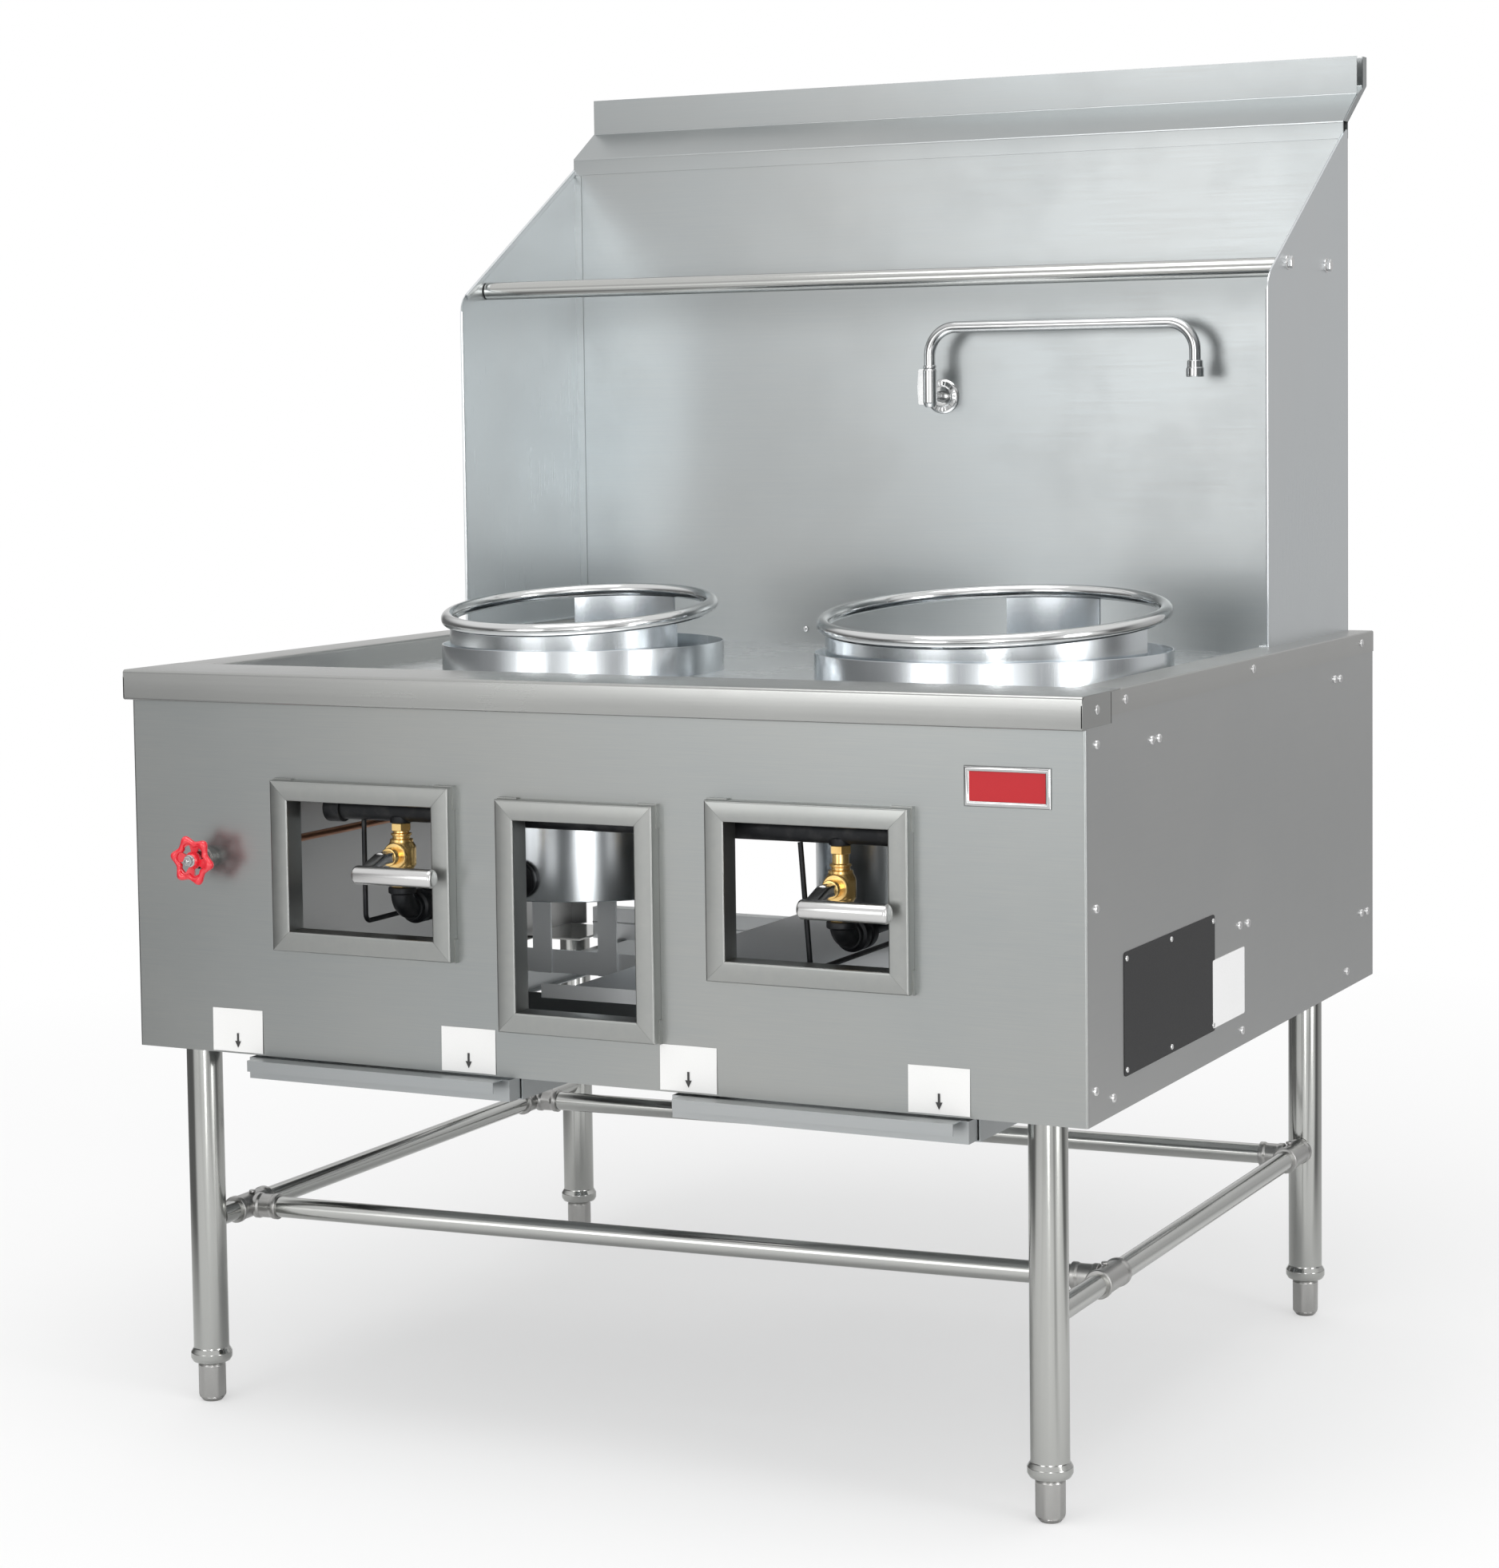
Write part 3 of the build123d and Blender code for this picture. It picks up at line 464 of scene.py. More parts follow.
def enamel():
    """Thick paint that pooled: one broad noise for colour, roughness and bump, under a gloss coat."""
    made = Finish("red_enamel", Coat_Weight=0.8, Coat_Roughness=0.08, Coat_IOR=1.5)
    pool = made.noise(90.0, 3.0)
    made.set(Base_Color=made.blend(pool, (0.62, 0.006, 0.022), (0.78, 0.02, 0.035)),
             Roughness=0.24 + pool * 0.12)
    return made.bump(pool, 2.5e-4)


def plated():
    """A faint haze over bright metal."""
    made = Finish("bright_plating", Metallic=1.0)
    haze = made.noise(60.0, 4.0)
    made.set(Base_Color=made.blend(haze, (0.46, 0.47, 0.475), (0.56, 0.56, 0.555)),
             Roughness=0.09 + haze * 0.08)
    return made.bump(made.noise(700.0, 2.0), 6e-6)


def paper(name, pale, shade):
    """Fine fibres between a pale colour and its shade."""
    made = Finish(name)
    fibre = made.noise(800.0, 4.0)
    made.set(Base_Color=made.blend(fibre, pale, shade), Roughness=0.48 + fibre * 0.2)
    return made.bump(fibre, 2e-5)


def copper():
    """Brown patches on drawn tube."""
    made = Finish("drawn_copper", Metallic=1.0)
    patch = made.noise(25.0, 5.0)
    made.set(Base_Color=made.blend(patch, (0.56, 0.28, 0.16), (0.32, 0.16, 0.10)),
             Roughness=0.30 + patch * 0.2)
    return made.bump(made.noise(300.0, 3.0), 3e-5)


BRASS, IRON, ENAMEL, PLATED, COPPER = brass(), iron(), enamel(), plated(), copper()
CARD = paper("white_card", (0.80, 0.80, 0.79), (0.74, 0.74, 0.73))
STICKER = paper("white_sticker", (0.78, 0.78, 0.78), (0.70, 0.70, 0.70))
BLACK_PLATE = paper("black_plate_foil", (0.006, 0.006, 0.007), (0.016, 0.016, 0.017))
RED_PLATE = paper("red_badge_enamel", (0.40, 0.004, 0.010), (0.48, 0.008, 0.014))
INK = paper("black_ink", (0.02, 0.02, 0.02), (0.05, 0.05, 0.05))
GRIP = steel("satin_grip_steel", (0.58, 0.58, 0.575), (0.66, 0.655, 0.65), ALONG_X, 0.22)
HEAD = steel("bright_screw_steel", (0.60, 0.60, 0.60), (0.70, 0.70, 0.70), EVEN, 0.20,
             0.03, 700.0, 6e-6)
# The stem and the water valve take a dark steel: painted shade, for the handwheel's shadow and dark
# reflection that lie over them.
STEM_PAINTED_SHADE = steel("stem_steel_painted_shade", (0.20, 0.20, 0.195), (0.30, 0.29, 0.28), EVEN, 0.32, 0.1, 400.0, 1e-5)
print("all finishes:", len(bpy.data.materials))

# %% [markdown]
# ## Making a piece
# A piece is a mesh in the frame's metres with smooth shading, and sharp edges where its faces meet
# at more than 30 degrees. It rides on a body, names the solid it stands for, and takes a finish.

# %% Pieces
SIDES = {"left": -1, "right": 1}
SHARP = radians(30)


def give(name, finish):
    """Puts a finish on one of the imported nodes, in place of what it had."""
    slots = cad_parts[name].data.materials
    slots.clear()
    slots.append(finish.material)


def piece(name, parts, finish, stands_for=None, body="range"):
    """One named object from several parts, riding on a body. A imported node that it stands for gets
    its finish too."""
    verts, quads, tris = together(parts)
    mesh = bpy.data.meshes.new(name)
    mesh.from_pydata(metres(verts).tolist(), [], quads.tolist() + tris.tolist())
    mesh.shade_smooth()
    mesh.set_sharp_from_angle(angle=SHARP)
    mesh.materials.append(finish.material)
    made = bpy.data.objects.new(name, mesh)
    bpy.context.scene.collection.objects.link(made)
    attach(made, body)
    if stands_for:
        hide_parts(stands_for)
        give(stands_for, finish)


# %% [markdown]
# ## The rim
# The rim is one folded tray edge: a lip stands out 15 mm over the front panel, the sheet runs back
# flat and drops to the sunken deck. A press brake can't make a sharp edge, and the bright line
# along every fold is the light caught in its radius, so each bend is a real arc here.

# %% Folded rims
HALF_W, DEPTH, SHEET = 609.6, 1051.0, 1.5
HALF_SHEET = SHEET / 2  # from a sheet's face to its centre line
Z_FLOOR, Z_DECK, Z_RIM, LIP, LIP_SIDES = 440.0, 865.0, 896.0, 36.0, 27.0
LIP_OUT, LIP_SIDE, RIM_FRONT, RIM_SIDE, LIP_BACK = 15.0, 2.2, 100.0, 51.0, 71.0
TOP_MID, END_X, INNER_X = Z_RIM - HALF_SHEET, HALF_W + LIP_SIDE, HALF_W - RIM_SIDE


def rim_end(sign):
    """Tab that closes the lip at one end: a plate with a rounded front corner and a short return."""
    low, high = Z_RIM - LIP + 1, Z_RIM - 0.4
    edge = rounded([(LIP_BACK, low), (-LIP_OUT, low), (-LIP_OUT, high), (LIP_BACK, high)], [1.5, 9], 8)
    return [along(edge, sign * (END_X - SHEET), sign * END_X),
            slab(sign * HALF_W, sign * END_X, LIP_BACK - SHEET, LIP_BACK, low, high - 1)]


lip_y, lip_z, drop_y = HALF_SHEET - LIP_OUT, Z_RIM - LIP + HALF_SHEET, RIM_FRONT - HALF_SHEET
lip = folded([(-0.5, lip_z), (lip_y, lip_z), (lip_y, TOP_MID), (LIP_BACK, TOP_MID)],
             SHEET, [2.0, 3.2], 8)
flat_top = folded([(LIP_BACK, TOP_MID), (drop_y - 6, TOP_MID)], SHEET)
drop = folded([(drop_y - 7, TOP_MID), (drop_y, TOP_MID), (drop_y, Z_DECK)], SHEET, 4.0)
front_rim = [along(lip, 0.3 - END_X, END_X - 0.3), along(flat_top, -HALF_W - SHEET, HALF_W + SHEET),
             along(drop, -INNER_X, INNER_X)]
for sign in SIDES.values():
    corner = slab(sign * INNER_X, sign * (HALF_W + SHEET), drop_y - 6, RIM_FRONT, Z_RIM - SHEET, Z_RIM)
    front_rim += rim_end(sign) + [corner]
piece("rim_front", front_rim, RIM, "front_rim")

for side, sign in SIDES.items():
    out_x, in_x = sign * (HALF_W + HALF_SHEET), sign * (INNER_X + HALF_SHEET)
    low = Z_RIM - LIP_SIDES
    fold = folded([(out_x, low), (out_x, TOP_MID), (in_x, TOP_MID), (in_x, Z_DECK)],
                  SHEET, [1.6, 4.0], 7)
    lap = slab(sign * HALF_W, sign * (HALF_W + SHEET), LIP_BACK, RIM_FRONT, low, Z_RIM - SHEET)
    piece(f"rim_{side}", [along(fold, RIM_FRONT, DEPTH - SHEET, 1), lap], SIDE_RIM, f"{side}_rim")
print("rim height", Z_RIM, "mm, lip", LIP, "mm")

# %% [markdown]
# ## Plates with windows
# A punched sheet is a grid of cells in two directions, with the cells inside the windows left out.
# Front and back faces are made from the cells that stay. A wall is made wherever a kept cell
# meets a missing one, so the plate is a closed solid with clean edges.

# %% Punched plate


def cut_out(layers, keep, wrap=False):
    """Closed plate between two layers of points [2, u, v, xyz], made of the cells that keep marks;
    wrap joins the last column to the first."""
    at = np.arange(layers[0].size // 3).reshape(layers.shape[1:3])
    cols = np.hstack([at, at[:, :1]]) if wrap else at
    cell = np.stack([cols[:-1, :-1], cols[1:, :-1], cols[1:, 1:], cols[:-1, 1:]], -1)
    faces = [cell[keep], cell[keep][:, ::-1] + at.size]
    padded = np.pad(keep, ((1, 1), (0, 0)))
    padded = np.pad(padded, ((0, 0), (1, 1)), mode="wrap" if wrap else "constant")
    rows, columns = keep.shape
    # Each side of a cell: the step to its neighbour, and the cell's two corners on that side
    for (du, dv), (i, j) in (((1, 0), (1, 2)), ((-1, 0), (3, 0)), ((0, 1), (2, 3)), ((0, -1), (0, 1))):
        beyond = padded[1 + du:1 + du + rows, 1 + dv:1 + dv + columns]
        edge = cell[keep & ~beyond]
        faces.append(np.stack([edge[:, j], edge[:, i], edge[:, i] + at.size, edge[:, j] + at.size], -1))
    return outward(layers.reshape(-1, 3), np.vstack(faces), np.zeros((0, 3), int))


def punched(xs, zs, holes, y0, y1):
    """Sheet over breaks xs by zs, thick from y0 to y1, without the cells inside the holes, each
    given by x0, x1, z0 and z1."""
    xs = np.unique(np.concatenate([xs] + [h[:2] for h in holes]))
    zs = np.unique(np.concatenate([zs] + [h[2:] for h in holes]))
    mid_x, mid_z = (xs[1:] + xs[:-1]) / 2, (zs[1:] + zs[:-1]) / 2
    keep = np.ones((len(mid_x), len(mid_z)), bool)
    for x0, x1, z0, z1 in holes:
        keep &= ~(((mid_x > x0) & (mid_x < x1))[:, None] & ((mid_z > z0) & (mid_z < z1))[None])
    xx, zz = np.meshgrid(xs, zs, indexing="ij")
    return cut_out(np.array([np.stack([xx, np.full_like(xx, y), zz], -1) for y in (y0, y1)]), keep)


print("a plate with one window has", len(punched([0, 3], [0, 3], [(1, 2, 1, 2)], 0, 1)[1]), "quads")

# %% [markdown]
# ## The cabinet's front
# The front sheet is punched for three windows and bends round both corners. Each window has a
# frame of folded channel, cut at 45 degrees. Four lengths meet there with a hairline gap, and small
# tabs hold the frame at its corners.

# %% Front panel and window frames
# Each opening: x from and to, z from and to
WINDOWS = {"left": (-381.0, -181.2, 592.0, 749.0), "centre": (-75.6, 82.4, 517.0, 739.0),
           "right": (191.4, 391.2, 592.5, 749.0)}
FRAME_W, FRAME_OUT, FRAME_IN, CORNER_R = 22.0, 17.0, 13.0, 3.0

holes = [(x0 - SHEET, x1 + SHEET, z0 - SHEET, z1 + SHEET) for x0, x1, z0, z1 in WINDOWS.values()]
flat_half = HALF_W - CORNER_R
front = [punched([-flat_half, flat_half], [Z_FLOOR, Z_RIM - SHEET], holes, 0, SHEET),
         slab(-flat_half + 30, flat_half - 30, SHEET, 21, Z_FLOOR, Z_FLOOR + SHEET)]
for sign in SIDES.values():
    x = sign * (HALF_W - HALF_SHEET + 0.06)
    corner = [(sign * flat_half, HALF_SHEET), (x, HALF_SHEET), (x, 3.2)]
    corner = folded(corner, SHEET, CORNER_R - HALF_SHEET - 0.3, 8)
    front.append(along(corner, Z_FLOOR, Z_RIM - SHEET, 2))
piece("front_sheet", front, FRONT, "front_panel")


def window_frame(x0, x1, z0, z1, gap=0.1):
    """Four mitred lengths of channel. A section point (s, y) lies s outside the opening, so at a
    corner it moves by s in x and in z, which is what makes the 45 degree cut."""
    inner, out, outer = -HALF_SHEET, HALF_SHEET - FRAME_OUT, FRAME_W - HALF_SHEET
    s, y = folded([(inner, FRAME_IN), (inner, out), (outer, out), (outer, -0.3)], SHEET, 1.5, 5).T
    lengths = []
    for ax, az, bx, bz in ((0, 0, 1, 0), (1, 0, 1, 1), (1, 1, 0, 1), (0, 1, 0, 0)):
        run = np.array([bx - ax, bz - az]) * gap
        ends = []
        for cx, cz, way in ((ax, az, 1), (bx, bz, -1)):
            x = (x1 + s if cx else x0 - s) + run[0] * way
            z = (z1 + s if cz else z0 - s) + run[1] * way
            ends.append(np.column_stack([x, y, z]))
        lengths.append(grid(np.array(ends), rungs=True))
    return lengths


def corner_tabs(x0, x1, z0, z1):
    """Thin lips outside each corner of a frame, an upright one and a level one."""
    tabs = []
    for x, way in ((x0 - FRAME_W, 1), (x1 + FRAME_W, -1)):
        for z, up in ((z0 - FRAME_W, 1), (z1 + FRAME_W, -1)):
            tabs.append(slab(x - way * SHEET, x, -7, 0, z, z + up * 26))
            tabs.append(slab(x - way * SHEET, x + way * 24, -7, 0, z, z - up * SHEET))
    return tabs


for side, window in WINDOWS.items():
    piece(f"frame_{side}", window_frame(*window) + corner_tabs(*window), FRAME, f"window_frame_{side}")
print("windows:", {k: (round(w[1] - w[0], 1), round(w[3] - w[2], 1)) for k, w in WINDOWS.items()})

# %% [markdown]
# ## Wings, rail and flue cap
# The side wings are cut on a slant and hemmed: the edge is folded back on itself, which makes it
# blunt and stiff. The hem can't follow the rounded corner, so it stops short on both sides of it.
# Behind, each wing has a narrow flange that lies on the splash back. The flue cap is two bent
# sheets that throw the hot air up and back.

# %% Wings, utensil rail and flue cap
WING_X, WING_Y, Y_SPLASH, Y_CAP, CAP_TOP = HALF_W - 33.0, 714.0, 1036.0, 1137.5, 1652.0
KNEE, TOP = np.array([WING_Y, 1351.0]), np.array([1042.0, 1551.0])
HEM = rounded([(-4, 0), (-4, 3.4), (4, 3.4), (4, 0), (-4, 0)], [1.6, 1.6, 1.6], 5)[:-1]


def wing(sign):
    """Slanted sheet with hems along its front and slanted edges and a foot flange on the rim."""
    x, back, front = sign * WING_X, DEPTH - SHEET, WING_Y + 1
    edge = [(back, Z_RIM), (front, Z_RIM), (front, KNEE[1]), TOP, (back, TOP[1])]
    edge = rounded(edge, [0, 26, 0], 10)
    slant = unit(TOP - KNEE)
    inset = np.array([slant[1], -slant[0]]) * 4
    parts = [along(edge, x, x - sign * SHEET),
             slab(x - sign * 14, x - sign * SHEET, WING_Y + 6, Y_SPLASH, Z_RIM, Z_RIM + SHEET)]
    for start, end in (((WING_Y + 4, Z_RIM + 1), (WING_Y + 4, KNEE[1] - 15)),
                       (KNEE + slant * 15 + inset, TOP - slant * 2 + inset)):
        section = np.column_stack([HEM[:, 0], -sign * (HEM[:, 1] - 0.1)])
        parts.append(swept([(x, *start), (x, *end)], section, (1, 0, 0)))
    return parts


for side, sign in SIDES.items():
    piece(f"wing_{side}", wing(sign), WING, f"{side}_wing")
# The seam flanges belong to the wing sheet but take the splash back's darker finish: painted shade,
# since they face the same way as the splash back.
seam_z = Z_RIM + 2, 1538
seams = [slab(sign * (WING_X - 13), sign * (WING_X - SHEET), Y_SPLASH - SHEET, Y_SPLASH, *seam_z)
         for sign in SIDES.values()]
piece("wing_seam_flanges", seams, SPLASH)
rail_end = np.array([WING_X - 3.2, 785, 1365])
piece("ladle_rail", [bar(rail_end * (-1, 1, 1), rail_end, 12, 48)], RAIL_ACROSS, "utensil_rail")

low_y, high_y = Y_SPLASH - HALF_SHEET, 1098.5 - HALF_SHEET
cap_front = [(low_y, 1539), (low_y, 1560.8), (high_y, 1601.6), (high_y, CAP_TOP - 1)]
low_y, high_y = DEPTH + HALF_SHEET, Y_CAP - HALF_SHEET
cap_back = [(low_y, 1540), (low_y, 1561.6), (high_y, 1614.6), (high_y, CAP_TOP)]
cap_front, cap_back = (folded(line, SHEET, 3.0, 6) for line in (cap_front, cap_back))
cheek = [(Y_SPLASH, 1561.5), (1098.6, 1602), (Y_CAP - 17, 1611), (Y_CAP - 17, CAP_TOP),
         (Y_CAP - SHEET, CAP_TOP), (Y_CAP - SHEET, 1615.1), (1119.0, 1604.4), (DEPTH, 1561.5)]
piece("cap_front", [along(cap_front, SHEET - WING_X, WING_X - SHEET)], SPLASH, "flue_cap_front")
cheeks = [along(cheek, x, x + SHEET) for x in (-WING_X, WING_X - SHEET)]
piece("cap_back", [along(cap_back, -WING_X, WING_X)] + cheeks, SPLASH, "flue_cap_back")
print("wings", 2 * WING_X, "mm apart, cap top", CAP_TOP, "mm")

# %% [markdown]
# ## Rings, bands and chambers
# Each wok sits on a round tube bent to a ring and tilted to the cook. Curved bands hold the ring
# up inside a rolled shell. The left ring is the smaller one.

# %% Wok rings and chambers
WOKS = {
    "left": dict(x=-269.0, y=498.0, r=181.0, ring_y=490.3, ring_r=169.3, tilt=radians(5.55),
                 arcs=((192, 346), (71, 122))),
    "right": dict(x=296.5, y=507.0, r=218.0, ring_y=509.2, ring_r=207.9, tilt=radians(5.15),
                  arcs=((192, 354), (72, 108))),
}
RING_Z, RING_TUBE, BAND_Z, SHELL_BASE, SHELL_TOP = 943.6, 8.5, 871.3, 590.0, 902.0


def ring_tube(w, count=160):
    """Tilted ring: a circle of radius R in x and y, then turned about x by the tilt."""
    flat = circle(w["ring_r"], count)
    c, s = cos(w["tilt"]), sin(w["tilt"])
    path = np.column_stack([flat[:, 0], flat[:, 1] * c, flat[:, 1] * s])
    tube = swept(path, circle(RING_TUBE, 28), (0, -s, c), close=True)
    return placed(tube, (w["x"], w["ring_y"], RING_Z))


def band(w, a0, a1, count=72):
    """Curved wall between two angles: bottom level, top in the ring's plane z = y tan(tilt)."""
    a = np.radians(np.linspace(a0, a1, count))
    r = w["ring_r"] - 2.5
    outer, inner = (np.stack([q * np.cos(a), q * np.sin(a) + 1], -1) for q in (r, r - 2))
    top = [RING_Z - 3 + xy[:, 1] * np.tan(w["tilt"]) for xy in (outer, inner)]
    low = np.full(count, BAND_Z)
    edges = ((outer, low), (outer, top[0]), (inner, top[1]), (inner, low))
    wall = grid(np.stack([np.column_stack([xy, z]) for xy, z in edges], 1))
    return placed(wall, (w["x"], w["ring_y"], 0))


for side, w in WOKS.items():
    piece(f"ring_{side}", [ring_tube(w)], BRIGHT, f"wok_ring_{side}")
    piece(f"ring_bands_{side}", [band(w, *arc) for arc in w["arcs"]], SHELL)
    r, centre = w["r"], (w["x"], w["y"], 0)
    wall = [(r - 25, SHELL_BASE), (r - 1, SHELL_BASE), (r, SHELL_BASE + 1), (r, SHELL_TOP - 1),
            (r - 0.4, SHELL_TOP), (r - 1.6, SHELL_TOP), (r - 2, SHELL_TOP - 1), (r - 2, SHELL_BASE + 2),
            (r - 25, SHELL_BASE + 2)]
    tongue = slab(r - 22, r - 1.5, -9, 9, 868, 871)
    rests = [placed(tongue, centre, turn=angle) for angle in (225, 270, 315, 90)]
    piece(f"shell_{side}", [turned(wall, 160, centre)] + rests, SHELL, f"chamber_{side}")
    print("ring", side, "outer diameter", 2 * (w["ring_r"] + RING_TUBE), "mm")

# %% [markdown]
# ## Legs, feet and rails
# Four tubes carry the cabinet. Each ends in a flared collar with a levelling foot screwed into it.
# Two rails run from front to back and two more across, held by tee fittings that can slide: the
# fitter has set the cross rails a little askew. A tee is a rolled sleeve with a bead at each mouth
# and a grub screw.

# %% Legs, feet, rails and tees
LEG_X, LEG_Y, LEG_R, LEG_TOP = 547.6, (43.0, 952.0), 21.5, 441.0
RAIL_R, RAIL_Z, PLATE_HALF, PLATE_INNER, STUD_TOP = 12.7, 222.0, 43.0, 29.0, 112.0
TEE_HALF, BRANCH, RAIL_STARTS = 33.0, (10.0, 42.0), 17.0  # all from the point where two rails meet
CORNERS = {f"{row}_{side}": (sign * LEG_X, y) for row, y in zip(("front", "rear"), LEG_Y)
           for side, sign in SIDES.items()}


def leg(x, y):
    """Tube with a bead and a flared collar at its foot, and a corner plate on top."""
    flare = [(20, LEG_TOP), (LEG_R, LEG_TOP), (LEG_R, 66), (25, 60), (25, 53.5), (22.5, 49), (17, 49)]
    inside = [(17, 50), (8.1, 50), (8.1, 74), (20, 74)]
    outline = np.vstack([rounded(flare, [0.3, 5, 2, 2, 1.5], 6), inside])
    at_front, out = y == LEG_Y[0], np.sign(x)
    plate_x = x + out * PLATE_HALF, x - out * (PLATE_INNER if at_front else PLATE_HALF)
    plate_y = y - (41 if at_front else 62), y + 62
    return [turned(outline, 56, (x, y, 0)), slab(*plate_x, *plate_y, LEG_TOP + 0.5, LEG_TOP + 3.5, 0.4)]


def foot(x, y):
    """Levelling foot: a rounded plug with six flats low down, on a threaded stud. On the flats the
    radius is at most flat / cos(angle from the middle of the flat)."""
    turn = np.linspace(0, 2 * pi, 72, endpoint=False)
    plug = [(0, 0), (11.5, 0), (16.5, 6), (16.5, 44), (14.5, 48.5), (8, 48.5)]
    plug = rounded(plug, [1, 5, 2, 1], 5)
    r, z = np.vstack([plug, [(8, STUD_TOP), (0, STUD_TOP)]]).T[:, :, None]
    flats = 14.4 / np.cos((turn + pi / 6) % (pi / 3) - pi / 6)
    radius = np.where((z > 5) & (z < 24), np.minimum(r, flats), r + 0 * turn)
    part = grid(np.stack([radius * np.cos(turn), radius * np.sin(turn), z + 0 * turn], -1)[1:-1])
    part[0][-2:] = (0, 0, 0), (0, 0, STUD_TOP)
    return placed(part, (x, y, 0))


def sleeve(a, b, r, bead=1.3):
    """Fitting between two points: a tube body with a rounded bead at each mouth."""
    a, b = np.asarray(a, float), np.asarray(b, float)
    long = np.linalg.norm(b - a)
    half = rounded([(0, 0), (r + bead, 0), (r + bead, 6), (r, 9), (r, long / 2)], [1.4, 2, 3], 5)
    outline = np.vstack([half[:-1], np.column_stack([half[::-1, 0], long - half[::-1, 1]])])
    return turned(outline, 44, a, b - a)


for name, (x, y) in CORNERS.items():
    piece(f"leg_tube_{name}", leg(x, y), TUBE, f"leg_{name}")
    piece(f"foot_plug_{name}", [foot(x, y)], CAST, f"foot_{name}", f"foot_{name}")
front_y, rear_y = LEG_Y[0] + LEG_R + 0.1, LEG_Y[1] - LEG_R - 0.1
rails = [bar((x, front_y, RAIL_Z), (x, rear_y, RAIL_Z), RAIL_R, 40) for x in (-LEG_X, LEG_X)]
piece("rails_along", rails, RAIL_ALONG, "side_rails")
rails_across, tees = [], []
for left_y, right_y in ((130.0, 222.0), (824.0, 896.0)):
    a, b = np.array([(-LEG_X, left_y, RAIL_Z), (LEG_X, right_y, RAIL_Z)])
    step = unit(b - a)
    rails_across.append(bar(a + step * RAIL_STARTS, b - step * RAIL_STARTS, RAIL_R, 40))
    for end, way in ((a, 1), (b, -1)):
        out = step * way
        tees += [sleeve(end - (0, TEE_HALF, 0), end + (0, TEE_HALF, 0), 15.2),
                 sleeve(end + out * BRANCH[0], end + out * BRANCH[1], 14.4),
                 bar(end + (way * 4, 0, 15), end + (way * 4, 0, 18.4), 4, 20, 0.8)]
piece("rails_across", rails_across, RAIL_ACROSS, "cross_rails")
piece("tee_fittings", tees, CAST, "rail_tees")
print("legs", len(CORNERS), "tee fittings", len(tees) // 3)

# %% [markdown]
# ## Gas valves and levers
# Under the black manifold hangs a brass valve: a hexagon nipple, a neck, a bulging body and a
# bonnet towards the cook. A flat steel arm comes out of the bonnet, bends down and carries a
# tube for the knee or the hand, level when the gas is shut.

# %% Valves and levers
GAS_Y, GAS_Z, GAS_R, BURNER_Z, INLET_X = 45.0, 735.0, 13.4, 618.0, 540.0
MOUTH_OUT = 12.0  # a burner's bell mouth stands out of its chamber by this much
VALVES = {"left": (-261.0, 683.0), "right": (305.7, 674.5)}  # x and z of each bonnet
# x at the manifold, x and z of the low run, and y of its far end
PILOTS = {"left": (-312.6, -312.6, 601.0, 428.0), "right": (257.0, 268.0, 578.0, 424.0)}


def hexagon(flat, z0, z1, ease=0.9):
    """Hexagon bar along z with both ends turned to a cone at the corners."""
    a = np.radians(np.arange(0, 360, 60))
    corner = flat / cos(pi / 6)
    rows = [(corner - ease, z0), (corner, z0 + ease), (corner, z1 - ease), (corner - ease, z1)]
    return grid(np.stack([[(r * np.cos(t), r * np.sin(t), z) for t in a] for r, z in rows]))


def gas_valve(x, z):
    """Nipple, neck, collars, ball body, lower nut and the bonnet that faces the cook."""
    body = [(0, z - 38), (10.2, z - 38), (10.2, z - 27), (12.6, z - 26), (12.6, z - 19), (17, z - 12),
            (17, z + 9), (13.6, z + 15), (13.6, z + 18), (10.5, z + 19), (10.5, z + 22),
            (12.2, z + 23), (12.2, z + 25), (9.4, z + 26), (9.4, 713), (0, 713)]
    body = rounded(body, [0.8, 0.8, 0.8, 1, 5, 5, 1, 0.5, 0.5, 0.5, 0.5, 0.5, 0.5, 0.3], 5)
    bonnet = [(0, 0), (14.2, 0), (15.5, 1.3), (15.5, 4), (12, 5), (12, 9), (13.4, 10),
              (13.4, 16), (0, 16)]
    bonnet = rounded(bonnet, [0.6, 0.6, 0.6, 0.5, 0.5, 0.5, 0.5], 4)
    return [turned(body, 48, (x, GAS_Y, 0)), placed(hexagon(10.6, 711, 720.5), (x, GAS_Y, 0)),
            turned(bonnet, 48, (x, 28, z), (0, 1, 0)),
            placed(hexagon(11.6, z - 38, z - 30), (x, GAS_Y, 0)),
            bar((x, 15, z), (x, 29, z), 10.5, 40, 1)]


def lever(x, z):
    """Arm bent in two places, a knuckle round the stem and a tube grip with rounded ends. The arm's
    section is a circle squared off: each coordinate is its sign times its size to the power 0.35."""
    mid = rounded([(14, z), (0, z), (-32, z - 10), (-38, z - 13)], [12, 8], 8)
    up = normals(mid)
    up *= np.sign(up[:, 1:])
    thick = np.interp(mid[:, 0], (-38, -20, 0, 14), (5.0, 5.5, 6.6, 6.6))[:, None]
    wide = np.interp(mid[:, 0], (-38, -10, 6, 14), (7.6, 7.6, 8.0, 8.0))
    round_one = circle(1, 28)
    square = np.sign(round_one) * abs(round_one) ** 0.35
    pts = np.stack([x + wide[:, None] * square[:, 0], mid[:, :1] + up[:, :1] * thick * square[:, 1],
                    mid[:, 1:] + up[:, 1:] * thick * square[:, 1]], -1)
    return [grid(pts), bar((x - 10, -40, z - 13.5), (x + 97, -40, z - 13.5), 10.9, 44, 4.6),
            bar((x, 10, z), (x, 40, z), 4, 24), bar((x, -3, z), (x, 13, z), 7.9, 32, 1.2)]


